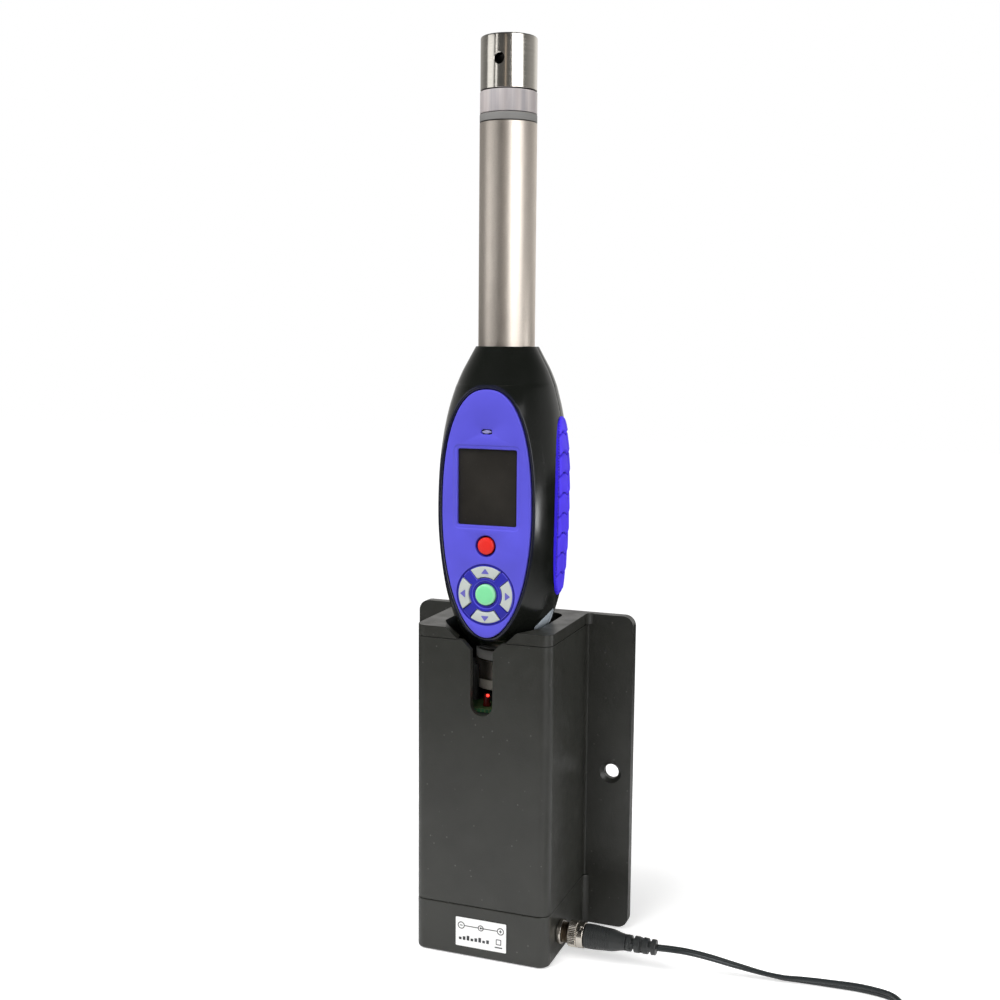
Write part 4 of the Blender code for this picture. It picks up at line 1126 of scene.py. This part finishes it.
def cut_facets(bm):
    """Flatten the foot of the casing on both sides to one plane each; below a sloping line the flat
    takes the painted reflection.
    """
    grow_y, grow_z = FACET_SLOPES
    edge_point, edge_normal = FACET_EDGE

    def cut(point, normal):
        everything = bm.verts[:] + bm.edges[:] + bm.faces[:]
        bmesh.ops.bisect_plane(bm, geom=everything, plane_co=point, plane_no=normal, dist=1e-7)

    cut(edge_point, edge_normal)
    for side in (1, -1):
        point = Vector((side * FACET_POINT.x, FACET_POINT.y, FACET_POINT.z))
        normal = Vector((side, -grow_y, -grow_z)).normalized()
        cut(point, normal)
        for vert in bm.verts:
            if (vert.co - point).dot(normal) > 1e-7:
                reach = FACET_POINT.x + grow_y * (vert.co.y - point.y) + grow_z * (vert.co.z - point.z)
                vert.co.x = side * reach
        for face in bm.faces:
            flat = all(abs((v.co - point).dot(normal)) < 3e-7 for v in face.verts)
            # the flat's faces below the sloping line get the painted reflection material
            if flat and (face.calc_center_median() - edge_point).dot(edge_normal) < 0:
                face.material_index = 1


def casing_levels(front):
    heights = [row[0] for row in BODY]
    if not front:
        count = 110
        return [heights[0] + (heights[-1] - heights[0]) * i / count for i in range(count + 1)]
    inside = [oval_height(angle, RIM) for angle in oval_angles(110)]
    below = [heights[0] + (inside[0] - heights[0]) * i / 8 for i in range(8)]
    above = [inside[-1] + (heights[-1] - inside[-1]) * i / 16 for i in range(1, 17)]
    return below + inside + above


def make_casing(mats):
    shells = []
    for name, front in (("casing_front", True), ("casing_rear", False)):
        bm = shell(front, casing_levels(front))
        cut_facets(bm)
        shells.append(mesh_object(name, bm, [mats["casing"], mats["facet"]], 24))
    front, rear = shells
    stands_for(front, "front_shell")
    for x, z in SHELL_SCREWS:
        seat = HEAD_SEAT - GAP
        well = fillet([(0, seat), (0.0025, seat), (0.0028, 0.0300), (0, 0.0300)], 0.0)
        carve(rear, lathe(well, 32, "Y", (x, 0, z)))
    rear.data.set_sharp_from_angle(angle=math.radians(24))
    stands_for(rear, "rear_shell")
    for n in range(1, len(SHELL_SCREWS) + 1):
        node = f"shell_screw_{n}"
        low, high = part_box(node)
        head = (high.x - low.x) / 2
        make_screw(f"casing_screw_{n}", node, "Y", (low + high) / 2, head, high.y, -1, mats["screw"])
    make_bezel(mats)


def make_bezel(mats):
    """The black rim round the fascia, which follows the casing's front."""
    bm = bmesh.new()
    outline = oval(110)
    profile = [(RIM + 0.0004, 0.0012), (RIM + 0.0002, 0.0002), (RIM - 0.0001, -0.0002)]
    profile += [(RIM - 0.0004, -0.00035), (0.0010, -0.00035), (0.0007, -0.0002), (0.0004, 0.0002)]
    profile += [(0.0003, 0.0018)]
    loops = []
    for grow, back in profile:
        loops.append([bm.verts.new((x, back - body_form(z)[1], z)) for x, z in outline(grow)])
    skin(bm, loops + loops[:1])
    added("casing_bezel", "front_shell", bm, mats["bezel"], sharp=50)


# ---- fascia and buttons
def key_outline(turn, steps=10):
    """One arc-shaped key in X and Z, as a function of how far it is grown."""

    def outline(grow):
        inner, outer = KEY_R[0] - grow, KEY_R[1] + grow
        inner_half = KEY_HALF_ANGLE - 4 + math.degrees(grow / inner)
        outer_half = KEY_HALF_ANGLE + math.degrees(grow / outer)
        points = arc(0, 0, outer, turn - outer_half, turn + outer_half, steps)
        points += arc(0, 0, inner, turn + inner_half, turn - inner_half, steps)
        return [(x, z + PAD_Z) for x, z in points]

    return outline


def make_fascia(mats):
    front, back = FASCIA_FRONT, FASCIA_BACK
    bm = bmesh.new()

    def ring(outline, steps, mat=0):
        """Loops of an outline at (grow, depth behind the front); None stands for the back."""
        return stack(bm, outline, [(g, back if d is None else front + d) for g, d in steps], "Y", mat)

    edge = [(0, None), (0, 0.0005), (-0.0001, 0.0002), (-0.0003, 0.00005), (-0.0006, 0)]
    outer_back, outer_front = ring(oval(), edge)
    step = [(0.0019, 0), (0.0018, 0.00003), (0.0014, 0.00035), (0.0003, 0.00045), (0.0001, 0.0006)]
    screen = ring(rounded_rect(*SCREEN, 0.0009, 5), step + [(0, 0.0009), (0, None)])
    lamp_outline = rounded_rect(-0.0026, 0.0026, LAMP_Z - 0.0011, LAMP_Z + 0.0011, 0.00105, 8)
    lamp = ring(lamp_outline, [(0.0003, 0), (0.0001, 0.0001), (0, 0.0003), (0, None)])
    stop_step = [(0.0011, 0), (0.0009, 0.0001), (0.0006, 0.0007)]
    # material 1, the darker groove blue, is painted shade in the wells and grooves
    stop_ring = ring(circle(0, STOP_Z, 0.0038), stop_step, 1)
    stop_well = ring(circle(0, STOP_Z, 0.0042), [(0.0002, 0.0007), (0, None)], 1)
    bmesh.ops.bridge_loops(bm, edges=loop_edges(bm, stop_ring[1]) + loop_edges(bm, stop_well[0]))
    pad = circle(0, PAD_Z, 0.0134, 96)
    pad_out = ring(pad, [(0.0004, 0), (0.0002, 0.0001), (0.0001, 0.0005)], 1)
    cap(bm, outer_front, screen[0], lamp[0], stop_ring[0], pad_out[0])
    pad_in = ring(pad, [(-0.00045, 0.0005), (-0.0005, 0.0001), (-0.0007, 0)])
    cap(bm, pad_out[1], pad_in[0], mat=1)
    well = [(0.0006, 0), (0.00045, 0.0001), (0.0004, 0.0004), (0.00035, None)]
    key_wells = [ring(key_outline(turn), well) for turn in KEYS.values()]
    enter_ring = ring(circle(0, PAD_Z, 0.0047), [(0.0017, 0), (0.0015, 0.0001), (0.0014, 0.0005)])
    enter_well = ring(circle(0, PAD_Z, 0.0047), [(0.0004, 0.0005), (0.0004, None)], 1)
    cap(bm, pad_in[1], enter_ring[0], *[ends[0] for ends in key_wells], mat=2)
    cap(bm, enter_ring[1], enter_well[0], mat=1)
    inner = [ends[1] for ends in (screen, lamp, stop_well, enter_well, *key_wells)]
    cap(bm, outer_back, *inner)
    piece("blue_fascia", "fascia", bm, mats["fascia"], mats["fascia_edge"], mats["pad"], sharp=30)


def loop_edges(bm, loop):
    return [bm.edges.get((a, b)) for a, b in zip(loop, loop[1:] + loop[:1])]


def make_windows(mats):
    low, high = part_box("display_window")
    outline = rounded_rect(low.x, high.x, low.z, high.z, 0.0012, 6)
    pane = block(outline, [(0, high.y), (0, low.y + 0.0001), (-0.0001, low.y)])
    piece("display_glass_pane", "display_window", pane, mats["screen"])
    low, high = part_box("sensor_window")
    middle = (low + high) / 2
    lens = []
    for k in range(33):
        along = 2 * k / 32 - 1
        lens.append((along * (high.x - low.x) / 2, (1 - along * along) * (high.z - low.z) / 2))
    lens += [(x, -z) for x, z in lens[-2:0:-1]]

    def lens_outline(grow):
        wide, tall = 1 + grow / 0.0016, 1 + grow / 0.0010
        return [(middle.x + x * wide, middle.z + z * tall) for x, z in lens]

    rings = [(0, high.y), (0, low.y + 0.0003), (-0.0001, low.y + 0.0001), (-0.0002, low.y)]
    piece("lens_window", "sensor_window", block(lens_outline, rings), mats["window"])


def make_keys(mats):
    for name, turn in KEYS.items():
        low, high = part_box(name)
        rings = [(0, high.y), (0, low.y + 0.0005), (-0.0001, low.y + 0.0002)]
        rings += [(-0.0003, low.y + 0.00005), (-0.0006, low.y)]
        bm = block(key_outline(turn), rings)
        middle = (KEY_R[0] + KEY_R[1]) / 2
        cos, sin = math.cos(math.radians(turn)), math.sin(math.radians(turn))
        arrow = []
        for along, across in ((0.00150, 0.0), (-0.0009, -0.0019), (-0.0009, 0.0019)):
            x, z = (middle + along) * cos - across * sin, (middle + along) * sin + across * cos
            arrow.append((x, z + PAD_Z, 0.0002))
        shape = fillet(arrow, 0.0002, 2)
        ends = stack(bm, lambda grow: shape, [(0, low.y + 0.0002), (0, low.y - 0.00008)], "Y", 1)
        cap(bm, ends[1], mat=1)
        piece(name + "_cap", name, bm, mats["key"], mats["arrow"], sharp=30)
    make_round_button("green_button", "enter_button", PAD_Z, mats["green_rim"], mats["green"])
    make_round_button("scarlet_button", "red_button", STOP_Z, mats["red"], mats["red"])


def make_round_button(name, node, centre_z, rim_mat, face_mat):
    low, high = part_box(node)
    radius = (high.x - low.x) / 2
    face_r = radius - 0.0009
    rim = [(0, high.y), (radius, high.y), (radius, low.y + 0.0006), (radius - 0.0002, low.y + 0.0003)]
    rim += [(radius - 0.0006, low.y + 0.00015), (face_r, low.y + 0.0002), (0, low.y + 0.0002)]
    bm = lathe(rim, 64, "Y", (0, 0, centre_z))
    face = [(0, low.y + 0.0005), (face_r, low.y + 0.0005)]
    for k in range(5):
        turn = k * math.pi / 10
        face.append((face_r * math.cos(turn), low.y + 0.0002 * (1 - math.sin(turn))))
    lathe(face + [(0, low.y)], 64, "Y", (0, 0, centre_z), bm=bm, mat=1)
    piece(name, node, bm, rim_mat, face_mat, sharp=40)


# ---- grips
GRIP_BAND = 0.17                  # share of the grip's depth that is smooth, at the front
GRIP_SPLIT = 0.60                 # where its two columns of tiles meet
GRIP_ROWS = 9


def tile_height(v, u):
    """Relief of a grip: v runs up it and u from front to back, each from 0 to 1."""
    if u < GRIP_BAND:
        serration = math.sin(v * GRIP_ROWS * 2 * math.pi * 7) > 0.3 and u > GRIP_BAND - 0.05
        return 0.45 if serration else 0.15
    low, high = (GRIP_BAND, GRIP_SPLIT) if u < GRIP_SPLIT else (GRIP_SPLIT, 1.0)
    within = (u - low) / (high - low)
    arch = 0.22 * (1 - (2 * within - 1) ** 2)
    part = (v * GRIP_ROWS - arch) % 1
    side_gap = min(within, 1 - within) / 0.10
    row_gap = min(part / 0.12, (1 - part) / 0.09)
    bump = smoothstep(0.0, 1.0, min(side_gap, row_gap))
    return bump * (0.70 + 0.30 * (1 - part) + 0.25 * (arch - 0.11))


def make_grips(mats):
    rows, columns = 270, 64
    middle = (GRIP_Z[0] + GRIP_Z[1]) / 2
    half = (GRIP_Z[1] - GRIP_Z[0]) / 2
    for name, node, side in (("soft_grip_left", "grip_left", -1), ("soft_grip_right", "grip_right", 1)):
        bm = bmesh.new()
        grid = []
        for i in range(rows + 1):
            v = i / rows
            z = middle + half * (2 * v - 1) * 0.9985
            reach = GRIP_HALF_D * power(1 - abs(2 * v - 1) ** 2.6, 1 / 2.2)
            line = []
            for j in range(columns + 1):
                u = j / columns
                y = PARTING + reach * (2 * u - 1)
                edge = min(u, 1 - u) * 2 * reach
                tip = min(v, 1 - v) * 2 * half
                rise = power(min(min(edge, tip) / 0.0014, 1.0), 0.5)
                lift = rise * (0.0003 + 0.0013 * tile_height(v, u)) - 0.0004
                line.append(bm.verts.new((side * (surface_x(z, y) + lift), y, z)))
            grid.append(line)
        for i, (a, b) in enumerate(zip(grid, grid[1:])):
            for j in range(columns):
                face = bm.faces.new((a[j], a[j + 1], b[j + 1], b[j]))
                relief = tile_height((i + 0.5) / rows, (j + 0.5) / columns)
                # faces in the grooves between tiles take the darker groove blue as painted shade
                face.material_index = 1 if relief >= 0.40 else 0 if j < GRIP_BAND * columns else 2
        grip = mesh_object(name, bm, [mats["grip_band"], mats["grip"], mats["grip_groove"]], 60)
        solid = grip.modifiers.new("thickness", "SOLIDIFY")
        solid.thickness = 0.0004
        stands_for(grip, node)


# ---- shaft and head
def ring_piece(name, node, mat, inner, bevel):
    """A turned ring with rounded edges on a CAD node's own size."""
    low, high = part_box(node)
    radius = (high.x - low.x) / 2
    profile = [(inner, low.z), (radius, low.z), (radius, high.z), (inner, high.z)]
    piece(name, node, lathe(fillet(profile, bevel), 128), mat)


def make_shaft(mats):
    ring_piece("shaft_sleeve", "shaft_tube", mats["champagne"], 0.0110, 0.0003)
    ring_piece("grey_spacer_ring", "head_spacer", mats["spacer"], 0.0070, 0.0002)
    ring_piece("frosted_light_ring", "light_ring", mats["lens"], 0.0110, 0.0003)
    low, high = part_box("head_collar")
    radius = (high.x - low.x) / 2
    bore, hole_r, hole_z = 0.0080, 0.00225, 0.3977
    floor_z = low.z + 0.0035
    collar = [(0, low.z), (radius, low.z, 0.0003)]
    collar += [(radius, hole_z - 0.0029, 0), (radius, hole_z + 0.0029, 0)]
    collar += [(radius, high.z, 0.0008), (bore, high.z, 0.0006), (bore, floor_z, 0.0004), (0, floor_z)]
    head = mesh_object("steel_collar", lathe(fillet(collar, 0.0003), 160), [mats["steel"]])
    hole = [(0, -0.0140), (hole_r + 0.0010, -0.0140), (hole_r + 0.0004, -radius - 0.00005)]
    hole += [(hole_r, -radius + 0.0004), (hole_r, -0.0060), (0, -0.0060)]
    carve(head, lathe(hole, 48, "Y", (0, 0, hole_z)))
    head.data.shade_smooth()
    head.data.set_sharp_from_angle(angle=math.radians(30))
    head.data.materials.append(mats["bore"])
    # the bore and the cross hole take the near-black bore material: painted shade inside the steel
    wall_start, wall_end = bore + 0.0002, radius - 0.0004
    for face in head.data.polygons:
        away, z = math.hypot(face.center.x, face.center.y), face.center.z
        in_bore = away < wall_start and z < high.z - 0.0005
        in_hole = wall_start < away < wall_end and low.z + 0.002 < z < high.z - 0.002
        if in_bore or in_hole:
            face.material_index = 1
    stands_for(head, "head_collar")
    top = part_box("light_ring_board")[1].z
    bm = bmesh.new()
    for k in range(10):
        outline = rounded_rect(0.0076, 0.0094, -0.0009, 0.0009, 0.0002, 2)
        chip = slab(outline, "Z", top + 0.00005, top + 0.0009)
        chip.transform(Matrix.Rotation(2 * math.pi * k / 10, 4, "Z"))
        mesh = bpy.data.meshes.new("chip")
        chip.to_mesh(mesh)
        chip.free()
        bm.from_mesh(mesh)
        bpy.data.meshes.remove(mesh)
    added("light_ring_chips", "light_ring_board", bm, mats["chip"])


def make_tail(mats):
    ring_piece("tail_grey_ring", "tail_ring", mats["spacer"], 0.0108, 0.0004)
    low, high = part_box("tail_tube")
    radius, bore, neck_r, neck = (high.x - low.x) / 2, 0.0090, 0.0105, 0.1336
    tube = [(bore, low.z), (radius, low.z), (radius, neck), (neck_r, neck)]
    tube += [(neck_r, high.z), (bore, high.z)]
    piece("tail_sleeve", "tail_tube", lathe(fillet(tube, 0.0003), 96), mats["champagne"])


# ---- pieces that keep their CAD mesh
CAD_FINISHES = {
    "moulding": ["well_tray", "tail_guide", "contact_block", "sounder"],
    "board": ["charging_board", "main_board", "light_ring_board"],
    "nickel": ["socket_nut", "plug_barrel", "usb_plug_tip"],
    "wire": ["power_harness"],
    "lamp": ["charge_lamp"],
    "gold": ["contact_pin_plus", "contact_pin_minus", "tail_contact_plus", "tail_contact_minus"],
    "screen": ["display_module"],
    "steel": ["sensing_beam"],
    "cell": ["battery_cell"],
    "cap": ["tail_cap"],
}


def dress_cad_nodes(mats):
    """Procedural materials for the CAD pieces inside the cradle and the casing."""
    for finish, nodes in CAD_FINISHES.items():
        for node in nodes:
            obj = frame["nodes"][node]
            for material_slot in obj.material_slots:
                material_slot.material = mats[finish]
            bevelled(obj, 0.00015, 2, 50)


def main():
    make_camera()
    mats = make_materials()
    make_usb_plug(mats)
    make_lead(mats)
    make_studio()
    makers = [make_housing, make_lid, make_base, make_label, make_socket, make_lock_ring, make_plug]
    makers += [make_casing, make_fascia, make_windows, make_keys, make_grips, make_shaft, make_tail]
    for make in makers + [dress_cad_nodes]:
        make(mats)


main()
